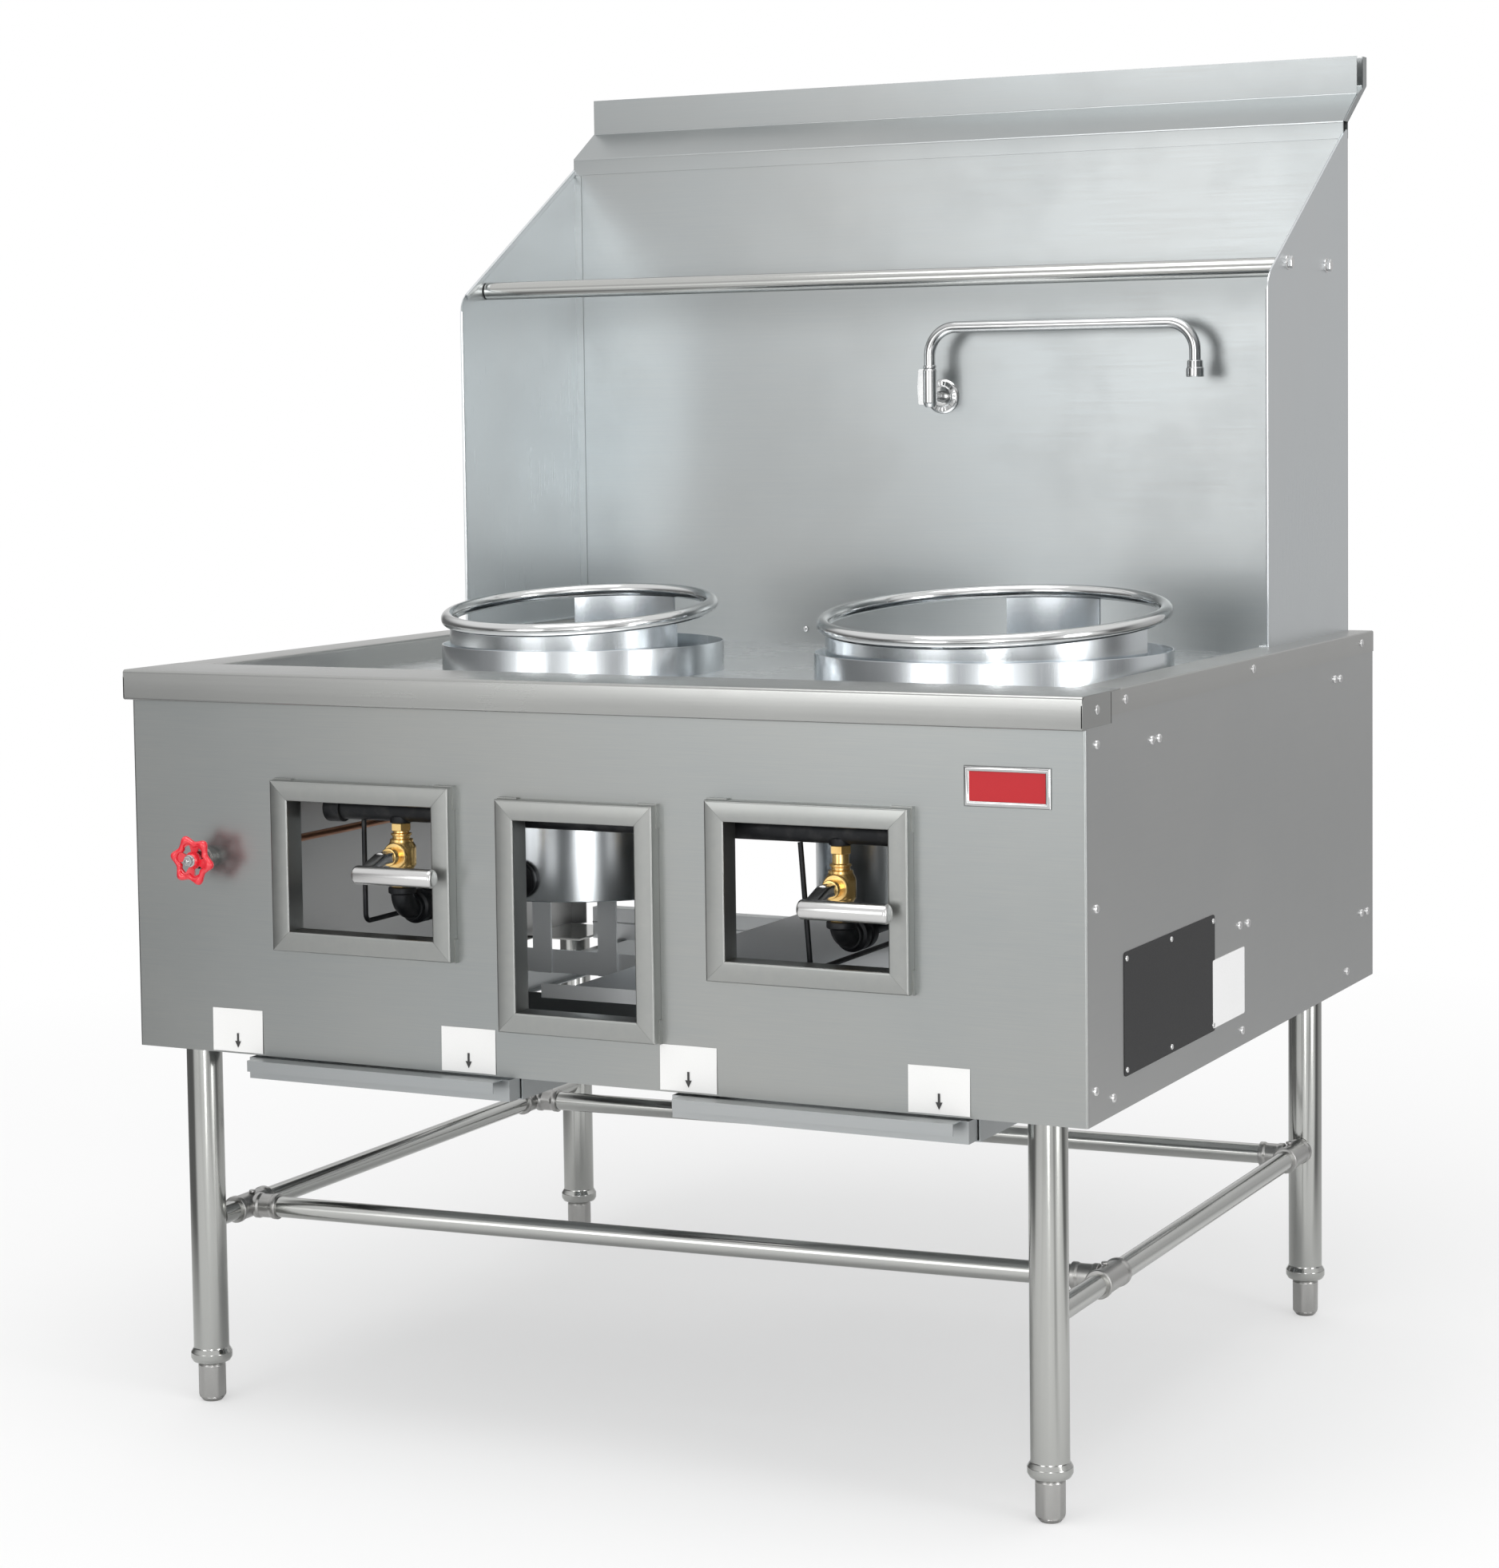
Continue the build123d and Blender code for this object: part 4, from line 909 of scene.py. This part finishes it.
# %% [markdown]
# ## Iron pipework
# Black iron pipe is joined by cast fittings with thick beads at their mouths. An elbow turns each
# valve's outlet back to its burner, and the manifold feeds both valves from one inlet at the back.
# A thin pilot line leaves the manifold beside each valve.

# %% Elbows, manifold and pilot lines


def elbow(x, z, mouth_y):
    """Iron elbow with a beaded mouth, a ribbed coupling and the pipe into the burner's bell."""
    bead = rounded([(0, 0), (16.5, 0), (16.5, 7), (13, 9), (0, 9)], [1.5, 1.5, 1], 5)
    ribs = rounded([(0, 62), (16, 62), (16, 68), (20, 70), (20, 82), (17.5, 84), (17.5, 87), (20, 89),
                    (20, 101), (16, 103), (16, 108), (0, 108)], 1, 4)
    run = [(x, GAS_Y, z - 38), (x, GAS_Y, BURNER_Z), (x, 80, BURNER_Z)]
    return [pipe(run, 13.6, 19, (1, 0, 0), 32, 12), turned(bead, 40, (x, GAS_Y, z - 38), (0, 0, -1)),
            turned(ribs, 44, (x, 0, BURNER_Z), (0, 1, 0)),
            bar((x, 100, BURNER_Z), (x, mouth_y - 2, BURNER_Z), 9, 28)]


def manifold():
    """Pipe behind the windows, bent once to the inlet at the back, with a socket over each valve."""
    start, turn, back = (-345, GAS_Y, GAS_Z), (INLET_X, GAS_Y, GAS_Z), (INLET_X, DEPTH, GAS_Z)
    socket = rounded([(0, 720.5), (13, 720.5), (13, 729), (0, 729)], 1, 4)
    parts = [pipe([start, turn, back], GAS_R, 30, (0, 0, 1), 36, 10),
             bar((-360, GAS_Y, GAS_Z), (-338, GAS_Y, GAS_Z), 17, 40, 1.5),
             bar(back, (INLET_X, DEPTH + 24, GAS_Z), 13, 36, 0.8)]
    return parts + [turned(socket, 40, (x, GAS_Y, 0)) for x, z in VALVES.values()]


def pilot_line(top_x, low_x, low_z, end_y):
    """Thin tube: down from the manifold, back under the burner and up to it. A circle is carried
    along the path by two directions across it, the first one square to x as well."""
    run = rounded([(top_x, GAS_Y, GAS_Z - GAS_R - 0.5), (low_x, GAS_Y, low_z), (low_x, end_y, low_z),
                   (low_x, end_y, 724)], 9, 8)
    ahead = unit(np.gradient(run, axis=0))
    side = unit(np.cross(ahead, (1, 0, 0)))
    ring = circle(3, 16)
    third = np.cross(ahead, side)
    return grid(run[:, None] + side[:, None] * ring[:, :1] + third[:, None] * ring[:, 1:])


piece("manifold_pipe", manifold(), IRON, "gas_manifold")
for side, (x, z) in VALVES.items():
    mouth_y = WOKS[side]["y"] - WOKS[side]["r"] - MOUTH_OUT
    piece(f"brass_valve_{side}", gas_valve(x, z), BRASS, f"gas_valve_{side}")
    piece(f"lever_{side}", lever(x, z), GRIP, f"valve_lever_{side}", f"valve_lever_{side}")
    piece(f"iron_elbow_{side}", elbow(x, z, mouth_y), IRON, f"burner_pipe_{side}")
    piece(f"pilot_line_{side}", [pilot_line(*PILOTS[side])], IRON, f"pilot_tube_{side}")
print("valves at x =", {k: v[0] for k, v in VALVES.items()}, "mm")

# %% [markdown]
# ## Burners
# Each burner is a cast pan on a stand-pipe. Gas blows into a bell mouth through the chamber's wall
# and drags air in with it, and the mix burns over two rings of jets.

# %% Burners
JETS = (6, 24), (12, 48)  # how many, and the radius of their circle


def burner(side):
    """Pan, stand-pipe, mixing tube with its bell, and jets on two circles."""
    w = WOKS[side]
    x, y, vx = w["x"], w["y"], VALVES[side][0]
    mouth = y - w["r"] - MOUTH_OUT
    dish = rounded([(0, 672), (60, 675), (72, 690), (72, 706), (66, 706), (62, 700), (0, 700)],
                   [2, 9, 1.5, 1.5, 3], 6)
    jet = rounded([(0, 698), (6.5, 698), (6.5, 712), (3.5, 722), (0, 722)], [0.4, 2, 0.8], 4)
    bell = rounded([(14, 0), (24, 0), (24, 5), (17.5, 26), (17, y - mouth), (14, y - mouth)],
                   [1.5, 2, 8, 0], 8)
    parts = [turned(dish, 64, (x, y, 0)), bar((x, y, 600), (x, y, 675), 22, 40, 2),
             turned(bell, 48, (vx, mouth, BURNER_Z), (0, 1, 0))]
    for count, radius in JETS:
        for turn in 2 * pi * np.arange(count) / count:
            parts.append(turned(jet, 20, (x + radius * cos(turn), y + radius * sin(turn), 0)))
    return parts


for side in WOKS:
    piece(f"jet_burner_{side}", burner(side), IRON, f"burner_{side}")
print("jets in each burner:", sum(count for count, radius in JETS))

# %% [markdown]
# ## The handwheel
# A cast handwheel has six swellings round its rim for the fingers. The rim's centre line is
# r = 22.3 + 2.8 cos 6a, and the tube round it swells at the same six places. The dished web inside
# is left open in four kidney-shaped windows, and a thick boss reaches back along the stem.

# %% Handwheel, nut, stem and water valve
WHEEL, FRONTWARD, REARWARD = (-502.1, -35.0, 673.9), (0, -1, 0), (0, 1, 0)
RIM_R, RIM_WAVE, RIM_TUBE, SWELL, WEB_HALF = 22.3, 2.8, 3.9, 1.3, 1.5
LOBES, LOBE_TURN, WINDOW_TURN = 6, -10.0, 32.0


def wheel_rim(count=144, around=22):
    """Rim: point = (R(a) + r(a) cos b) outwards and r(a) sin b along the stem."""
    a = np.linspace(0, 2 * pi, count, endpoint=False)[:, None]
    b = np.linspace(0, 2 * pi, around, endpoint=False)[None]
    wave = np.cos(LOBES * a)
    big, small = RIM_R + RIM_WAVE * wave, RIM_TUBE + SWELL * np.clip(wave, 0, 1) ** 1.3
    reach = big + small * np.cos(b)
    points = np.stack([reach * np.cos(a), reach * np.sin(a), small * np.sin(b) + 0 * a], -1)
    return grid(points, wrap_u=True)


def wheel_web(count=96):
    """Dished web: rings of radius against depth, with the kidney windows left out, and a hub."""
    a = np.linspace(0, 2 * pi, count, endpoint=False)
    r = np.array([8.0, 9.6, 10.6, 12.2, 13.8, 15.4, 16.8, 18.4, 20.5])
    depth = np.interp(r, (8, 9.6, 20.5), (-2.6, -2.2, 0.0))
    opened = (abs(np.degrees(a) % 90 - 45) < 23)[None] & ((r > 10) & (r < 17))[:-1, None]
    x, y = r[:, None] * np.cos(a), r[:, None] * np.sin(a)
    layers = [np.stack([x, y, (depth + t)[:, None] + 0 * a], -1) for t in (-WEB_HALF, WEB_HALF)]
    return cut_out(np.array(layers), ~opened, wrap=True)


hub = rounded([(4.1, -8.5), (8.4, -8.5), (9.4, -3), (8.8, 2.6), (7.4, 5), (4.1, 5)],
              [1, 1.5, 1.5, 1], 4)
wheel_parts = [placed(part, WHEEL, FRONTWARD, turn) for part, turn in
               ((wheel_rim(), LOBE_TURN), (wheel_web(), WINDOW_TURN - 45), (turned(hub, 40), 0))]
piece("enamelled_wheel", wheel_parts, ENAMEL, "handwheel", "handwheel")
cap = rounded([(0, -1), (7.4, -1), (7.4, 0.2), (6, 0.6), (6, 1.5)], [0.3, 0.3, 0.3], 3)
wheel_x, wheel_y, wheel_z = WHEEL
nut = [placed(hexagon(5.4, 0, 4.6, 0.7), (wheel_x, wheel_y - 6.2, wheel_z), FRONTWARD),
       turned(np.vstack([cap, [(0, 1.5)]]), 32, (wheel_x, wheel_y - 5.6, wheel_z), FRONTWARD),
       bar((wheel_x, wheel_y - 9, wheel_z), (wheel_x, wheel_y - 13, wheel_z), 2.6, 20, 1.2)]
piece("wheel_nut", nut, PLATED, "handwheel_nut", "handwheel")
# The stem's dark steel is painted shade from the handwheel in front of it.
stem = bar((wheel_x, 8, wheel_z), (wheel_x, wheel_y - 5, wheel_z), 4, 24)
piece("wheel_stem", [stem], STEM_PAINTED_SHADE, "water_stem", "handwheel")


def water_valve():
    """Upright valve behind the panel: inlet thread, body with collars, outlet and packing nut."""
    x, _, z = WHEEL
    body = rounded([(0, 452), (10.2, 452), (10.2, 468), (10.5, 469), (10.5, 640), (15, 643), (15, 650),
                    (19, 657), (19, 685), (12, 694), (0, 694)], [0.8, 0.3, 0.3, 1, 1, 1, 6, 6, 3], 5)
    return [turned(body, 44, (x, GAS_Y, 0)), bar((x, -14, z), (x, GAS_Y, z), 12, 40, 1),
            bar((x, GAS_Y, z), (x, 76, z), 12, 40, 1),
            placed(hexagon(11.2, 0, 12), (x, -14, z), FRONTWARD),
            bar((x, -5, z), (x, -13, z), 13, 40, 1)]


# The water valve's dark steel is painted shade from the handwheel in front of it.
piece("water_valve_body", water_valve(), STEM_PAINTED_SHADE, "water_valve")
print("handwheel", round(2 * (RIM_R + RIM_WAVE + RIM_TUBE + SWELL), 1), "mm across its lobes")

# %% [markdown]
# ## The faucet
# The faucet is plated brass. A ribbed flange meets the splash back, a short stub carries the body
# with a flat blade on its left, and the spout is one bent tube that turns in the body, with a thin
# ring round its foot. A collar with a step holds the outlet.

# %% Faucet
SPOUT_X, SPOUT_Y, SPOUT_Z, SPOUT_REACH, SPOUT_R, FLANGE_Z = 5.4, 990.0, 1305.0, 382.0, 7.75, 1211.0


def faucet_body():
    """Body: a turned barrel, its neck ring, the blade and the stub to the wall."""
    x, y = SPOUT_X, SPOUT_Y
    barrel = rounded([(0, 1196.5), (6.4, 1196.5), (9.5, 1202), (9.5, 1246), (8.4, 1248.5), (0, 1248.5)],
                     [1.5, 4, 1, 0.8], 6)
    blade = [(x - 4, 1200), (x - 15.4, 1200), (x - 17, 1223), (x - 15.2, 1248.4), (x - 4, 1248.4)]
    blade = rounded(blade, [2.5, 40, 2.5], 8)
    waist = rounded([(0, 0), (9, 0), (6.8, 5), (6.8, 26), (7.5, 34), (7.5, 59), (0, 59)],
                    [1, 4, 4, 4, 0.5], 5)
    return [turned(barrel, 48, (x, y, 0)), along(blade, y - 4.6, y + 4.6, 1),
            turned(waist, 36, (x, y, FLANGE_Z), REARWARD)]


def flange(ribs=24):
    """Rounded disc with a raised boss and a ring of shallow ribs between them."""
    disc = rounded([(0, 0), (23.6, 0), (24, 2), (21, 4.6), (15, 5), (14, 6.9), (7.5, 7)],
                   [0.4, 1, 2, 1, 0.8], 5)
    parts = [turned(np.vstack([disc, [(0, 7)]]), 64, (SPOUT_X, Y_SPLASH, FLANGE_Z), FRONTWARD)]
    centre = np.array([SPOUT_X, Y_SPLASH - 4.4, FLANGE_Z])
    for turn in np.arange(ribs) * 2 * pi / ribs:
        out = np.array([cos(turn), 0, sin(turn)])
        parts.append(bar(centre + out * 15.5, centre + out * 20.5, 0.8, 8))
    return parts


piece("faucet_barrel", faucet_body(), PLATED, "faucet_body")
piece("faucet_rose", flange(), PLATED, "faucet_flange")
tip = SPOUT_X + SPOUT_REACH
bow = [(SPOUT_X, SPOUT_Y, 1248.9), (SPOUT_X, SPOUT_Y, SPOUT_Z), (tip, SPOUT_Y, SPOUT_Z),
       (tip, SPOUT_Y, 1241)]
neck = rounded([(7.9, 1248.9), (9, 1249.6), (9, 1252.4), (7.9, 1253.5)], [0.6, 0.6], 4)
spout = [pipe(bow, SPOUT_R, 38, (0, 1, 0), 36, 16),
         bar((SPOUT_X, SPOUT_Y, 1229), (SPOUT_X, SPOUT_Y, 1250), 6, 28),
         turned(neck, 36, (SPOUT_X, SPOUT_Y, 0))]
piece("spout_bow", spout, PLATED, "faucet_spout", "spout")
collar = rounded([(7.8, 1254.5), (10.4, 1253.4), (10.6, 1244.5), (11.9, 1243.6), (11.9, 1233),
                  (11, 1232), (8.6, 1232), (8.6, 1240), (7.8, 1241)],
                 [1, 0.6, 0.6, 0.8, 0.6, 0.5, 0.5], 4)
piece("spout_collar", [turned(collar, 48, (tip, SPOUT_Y, 0))], PLATED, "spout_nozzle", "spout")
print("spout reach", SPOUT_REACH, "mm")

# %% [markdown]
# ## Screws, bolts and rivets
# The cabinet is held by pan-head screws with a round top, and the ladle rail and the riser by
# hexagon bolts. Both are small lathe shapes placed by their centre and the face's outward
# direction. The two sides are alike.

# %% Fasteners
PAN = rounded([(0, -0.4), (5.2, -0.4), (5.2, 0.7), (4.4, 2.6), (0, 3.4)], [0.2, 0.5, 1.4], 5)
# y and z of each screw, y of the rim's screws, y and z of each bolt
SIDE_SCREWS = [(31, 842), (200, 831), (223, 831), (881, 845), (903, 844), (27, 669), (498, 584),
               (529, 582.5), (997, 529), (1023, 528), (932, 462), (507, 458), (22, 476), (75, 459)]
FLANGE_SCREWS, FLANGE_SCREW_Z = [115, 549, 995], 883
WING_BOLTS = [(794.6, 1371), (956.8, 1372)]


def screw(place, way, size=1.0, turn=17.0):
    """Pan head. Its size is one factor, or a pair for the width and the height."""
    return placed(turned(PAN * size, 24), place, way, turn)


def bolt(place, way):
    """Hexagon head on a washer."""
    washer = rounded([(0, -0.3), (9.6, -0.3), (9.6, 1.1), (0, 1.1)], [0.3, 0.4], 3)
    return [turned(washer, 28, place, way), placed(hexagon(6.9, 1, 6.6, 1.0), place, way, 12)]


for side, sign in SIDES.items():
    way = (sign, 0, 0)
    heads = [screw((sign * HALF_W, y, z), way, turn=31 * k) for k, (y, z) in enumerate(SIDE_SCREWS)]
    rim_x = sign * (HALF_W + SHEET)
    rim_heads = [screw((rim_x, y, FLANGE_SCREW_Z), way, (1.0, 0.7), 47 * k)
                 for k, y in enumerate(FLANGE_SCREWS)]
    piece(f"side_screws_{side}", heads, HEAD)
    piece(f"rim_screws_{side}", rim_heads, HEAD)
    bolts = [part for y, z in WING_BOLTS for part in bolt((sign * WING_X, y, z), way)]
    piece(f"wing_bolts_{side}", bolts, HEAD)
tab_heads = [screw((sign * END_X, 28.6, 879), (sign, 0, 0), (1.0, 0.5)) for sign in SIDES.values()]
piece("tab_screws", tab_heads, HEAD)
piece("splash_screw", [screw((-209.6, Y_SPLASH - SHEET, 884.5), FRONTWARD, 0.8)], HEAD)
print("screws:", 2 * len(SIDE_SCREWS + FLANGE_SCREWS) + 3, "and bolts:", 2 * len(WING_BOLTS))

# %% [markdown]
# ## Plates and cards
# The front has a small red plate in a bright frame, and the right-hand side a black rating plate on
# six rivets with a paper label over its end. Four white cards hang along the front's lower edge.
# All of them are left bare, because their print belongs to one maker and not to the type.

# %% Badge, rating plate, label and cards
# Measured along the front from its left edge
BADGE_X = np.array([1082, 1181]) - HALF_W
CARDS = np.array([(107.5, 178.5), (427.0, 499.0), (712.0, 783.0), (1014.0, 1086.0)]) - HALF_W
CARD_THICK = 0.3


def beaded_frame(x0, x1, z0, z1, wide, proud):
    """Bright frame: a half-round bead carried round a rectangle, its corners cut at 45 degrees."""
    t = np.linspace(0, pi, 9)
    s = wide * (1 - np.cos(t)) / 2
    y = -proud * np.sin(t) ** 0.7
    rows = [np.column_stack([x1 - s if cx else x0 + s, y, z1 - s if cz else z0 + s])
            for cx, cz in ((0, 0), (1, 0), (1, 1), (0, 1))]
    return grid(np.array(rows), wrap_u=True)


def side_plate(y0, y1, z0, z1, start, corner, steps, low, high):
    """Plate on the right side with rounded corners, from low to high off the panel. Its outline
    starts at start on the lower edge, so that all four corners lie inside it."""
    edge = [(start, z0), (y0, z0), (y0, z1), (y1, z1), (y1, z0), (start - 1, z0)]
    return along(rounded(edge, corner, steps), HALF_W + low, HALF_W + high)


(x0, x1), z0, z1 = BADGE_X, 775.0, 819.0
piece("badge_frame", [beaded_frame(x0, x1, z0, z1, 6.5, 3.4)], PLATED)
piece("badge_plate", [slab(x0 + 5.6, x1 - 5.6, -1.5, 0.2, z0 + 5.6, z1 - 5.6, 0.3)], RED_PLATE)

y0, y1, z0, z1 = 109.0, 408.0, 475.0, 610.0
piece("rating_plate", [side_plate(y0, y1, z0, z1, 260, 5, 6, -0.2, 0.8)], BLACK_PLATE)
rivet_spots = [(HALF_W + 0.8, y, z) for z in (z0 + 7, z1 - 7) for y in (y0 + 7, (y0 + y1) / 2, y1 - 7)]
piece("plate_rivets", [screw(spot, (1, 0, 0), 0.62) for spot in rivet_spots], HEAD)
piece("paper_label", [side_plate(400.0, 514.0, 478.0, 557.0, 450, 2.5, 4, 0.1, 1.1)], STICKER)


def card(x0, x1, z0=442.0, z1=493.5, count=12):
    """Card with a slight curl: its face lies 0.3 to 1.3 mm proud, highest at the lower corners."""
    u = np.linspace(0, 1, count)
    lift = 0.35 + 0.7 * (2 * u - 1) ** 4
    faces = [np.column_stack([x0 + (x1 - x0) * u, -(lift * k + 0.2), np.full(count, z)])
             for z, k in ((z0, 1.0), (z1, 0.4))]
    return grid(np.array([np.vstack([face, (face + (0, CARD_THICK, 0))[::-1]]) for face in faces]))


piece("front_cards", [card(a, b) for a, b in CARDS], CARD)


def arrow(x, low=447.0, high=464.5, head=8.0, stem=1.3):
    """Small downward arrow: a narrow stem over a triangle, a hair in front of a card."""
    tip = [(x - head / 2, low + head), (x + head / 2, low + head), (x, low)]
    shaft = [(x - stem, low + head), (x - stem, high), (x + stem, high), (x + stem, low + head)]
    return [along(edge, -1.35, -0.95, 1) for edge in (tip, shaft)]


piece("card_arrows", [q for a, b in CARDS for q in arrow((a + b) / 2)], INK)
print("cards", len(CARDS), "rivets", len(rivet_spots))

# %% [markdown]
# ## The carried-over solids
# Flat sheets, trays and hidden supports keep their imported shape, and only get their finish. The
# nodes that a piece stands for have theirs already.

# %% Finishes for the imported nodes
NODE_FINISH = {
    SIDE: ["left_side_panel", "right_side_panel"],
    SPLASH: ["backsplash_panel", "riser_back_panel", "rear_panel"], DECK: ["cooktop_deck"],
    INNER: ["burner_stands", "cross_beams", "heat_baffle"], COPPER: ["water_pipe"],
    TRAY: ["drip_tray_left", "drip_tray_right", "tray_runners_left", "tray_runners_right"],
}
for finish, names in NODE_FINISH.items():
    for name in names:
        give(name, finish)
print("packed shapes kept:", sum(map(len, NODE_FINISH.values())), "of", len(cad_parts))

# %% [markdown]
# ## Floor, world and lamps
# Steel is nothing but what it reflects, so a studio for steel is a bright room with soft edges. The
# world is white behind the range and overhead, and falls to grey beside it, which is what gives a
# tube its dark flanks. The floor is pale, turns white with distance so that no horizon shows, and
# keeps the range's shadow. Four soft lamps stand in for windows: tall ones draw upright bands of
# light on every tube and ring.

# %% Bright ways of the room
AHEAD = (-0.449, 0.894, 0.0)        # the way the camera looks, level
BACK_RIGHT = (0.449, 0.894, 0.0)    # what the side panel and the wings mirror
TO_FRONT = (-0.342, -0.940, 0.0)    # what the right half of the front mirrors
FRONT_RIGHT = (0.449, -0.894, 0.0)  # what the left wing sees by way of the splash back
TO_RIGHT = (0.973, -0.231, 0.0)     # what the right-hand flank of a leg mirrors
BRIGHT_WAYS = [(AHEAD, 0.90, 0.99, 0.6), (BACK_RIGHT, 0.72, 0.95, 0.44), (TO_FRONT, 0.885, 0.998, 1.0),
               (FRONT_RIGHT, 0.86, 0.98, 1.3), (TO_RIGHT, 0.90, 0.98, 0.85)]
DIM = 0.16  # brightness of the room away from all of them
FAR = 5.0   # metres from the middle, at which the floor's ramps reach 1


def brightness(graph, way):
    """How bright the room is in a direction: DIM plus a soft patch round each bright way, whose
    strength goes from 0 to its level while the dot product goes from low to high."""
    total = DIM
    for centre, low, high, level in BRIGHT_WAYS:
        dot = graph.wire("ShaderNodeVectorMath", {"operation": "DOT_PRODUCT"}, "Value",
                         i0=way, i1=centre)
        total = graph.fade(dot, low, high) * level + total
    return total


print("bright ways:", len(BRIGHT_WAYS))

# %% Floor and world


def studio_floor(half=9.0):
    """Large flat square at the feet: paint near the range, and white light far from it."""
    mesh = bpy.data.meshes.new("studio_floor")
    corners = [(-half, -half, 0), (half, -half, 0), (half, half, 0), (-half, half, 0)]
    mesh.from_pydata(corners, [], [(0, 1, 2, 3)])
    ground = bpy.data.objects.new("studio_floor", mesh)
    bpy.context.scene.collection.objects.link(ground)
    finish = Finish("studio_floor_paint", Roughness=0.9)
    finish.set(Base_Color=finish.blend(finish.noise(2.0, 2.0), (0.80, 0.80, 0.80), (0.78, 0.78, 0.78)))
    distance = finish.wire("ShaderNodeVectorMath", {"operation": "LENGTH"}, "Value", i0=finish.place)
    distance = distance * (1 / FAR)
    away = finish.wire("ShaderNodeVectorMath", {"operation": "NORMALIZE"}, i0=finish.place)
    path = finish.node("ShaderNodeLightPath").outputs
    seen, mirrored, through = (Wire(finish, path[f"Is {ray} Ray"])
                               for ray in ("Camera", "Glossy", "Transmission"))
    near = finish.ramp(distance, (0.16, 0.45), (0.62, 1.0))
    flags = finish.ramp(distance, (0.18, 0.0), (0.40, 1.0)) * (1.0 - brightness(finish, away))
    floor = Wire(finish, finish.shader.outputs[0])
    for shade, factor in ((1.0, (seen + through) * near), (0.05, mirrored * flags)):
        light = finish.wire("ShaderNodeEmission", Color=(shade, shade, shade, 1), Strength=1.0)
        floor = finish.wire("ShaderNodeMixShader", Fac=factor, i1=floor, i2=light)
    finish.fill(finish.tree.nodes["Material Output"], {"i0": floor})
    mesh.materials.append(finish.material)


def studio_world():
    """White to the camera and behind the range; a soft grey-to-white dome to what reflects."""
    world = bpy.data.worlds.new("studio")
    bpy.context.scene.world = world
    world.use_nodes = True
    world.node_tree.nodes.clear()
    graph = Graph(world.node_tree)
    way = graph.wire("ShaderNodeTexCoord", output="Generated")
    over = graph.fade(graph.wire("ShaderNodeSeparateXYZ", output="Z", i0=way), 0.12, 0.60)
    dome = brightness(graph, way) * (1.0 - over) + over
    seen = graph.wire("ShaderNodeLightPath", output="Is Camera Ray")
    light = graph.wire("ShaderNodeBackground", Color=(1, 1, 1, 1), Strength=seen + (1.0 - seen) * dome)
    graph.node("ShaderNodeOutputWorld", i0=light)


studio_floor()
studio_world()
print("the floor is white from", round(0.62 * FAR, 1), "m on")

# %% Lamps
# Each lamp: its place, its target, its width and height in metres, and its watts
LAMPS = {
    "overhead_lamp": ((0.2, -0.8, 4.2), (0, 0.1, 0.9), 3.0, 2.2, 60),
    "right_window": ((4.6, -1.2, 1.35), (0, 0, 1.2), 1.2, 2.5, 40),
    "strip_window": ((2.35, -4.7, 1.35), (0, 0, 1.2), 0.7, 2.5, 40),
    "left_window": ((-1.3, -4.9, 1.7), (0, 0, 1.2), 1.8, 1.8, 24),
}


def soft_lamp(name, place, target, wide, tall, power):
    """Rectangular area lamp aimed at a point."""
    data = bpy.data.lights.new(name, "AREA")
    data.shape, data.size, data.size_y, data.energy = "RECTANGLE", wide, tall, power
    lamp = bpy.data.objects.new(name, data)
    lamp.location = place
    lamp.rotation_euler = (Vector(target) - Vector(place)).to_track_quat("-Z", "Y").to_euler()
    bpy.context.scene.collection.objects.link(lamp)


for name, lamp in LAMPS.items():
    soft_lamp(name, *lamp)
bpy.context.scene.view_settings.view_transform = "Standard"
print("lamps:", len(LAMPS))

# %% [markdown]
# ## The last step
# A dressed part may not outgrow its solids, or it would no longer fit where they fit. At the end
# the view layer is brought up to date.

# %% The last step
bpy.context.view_layer.update()
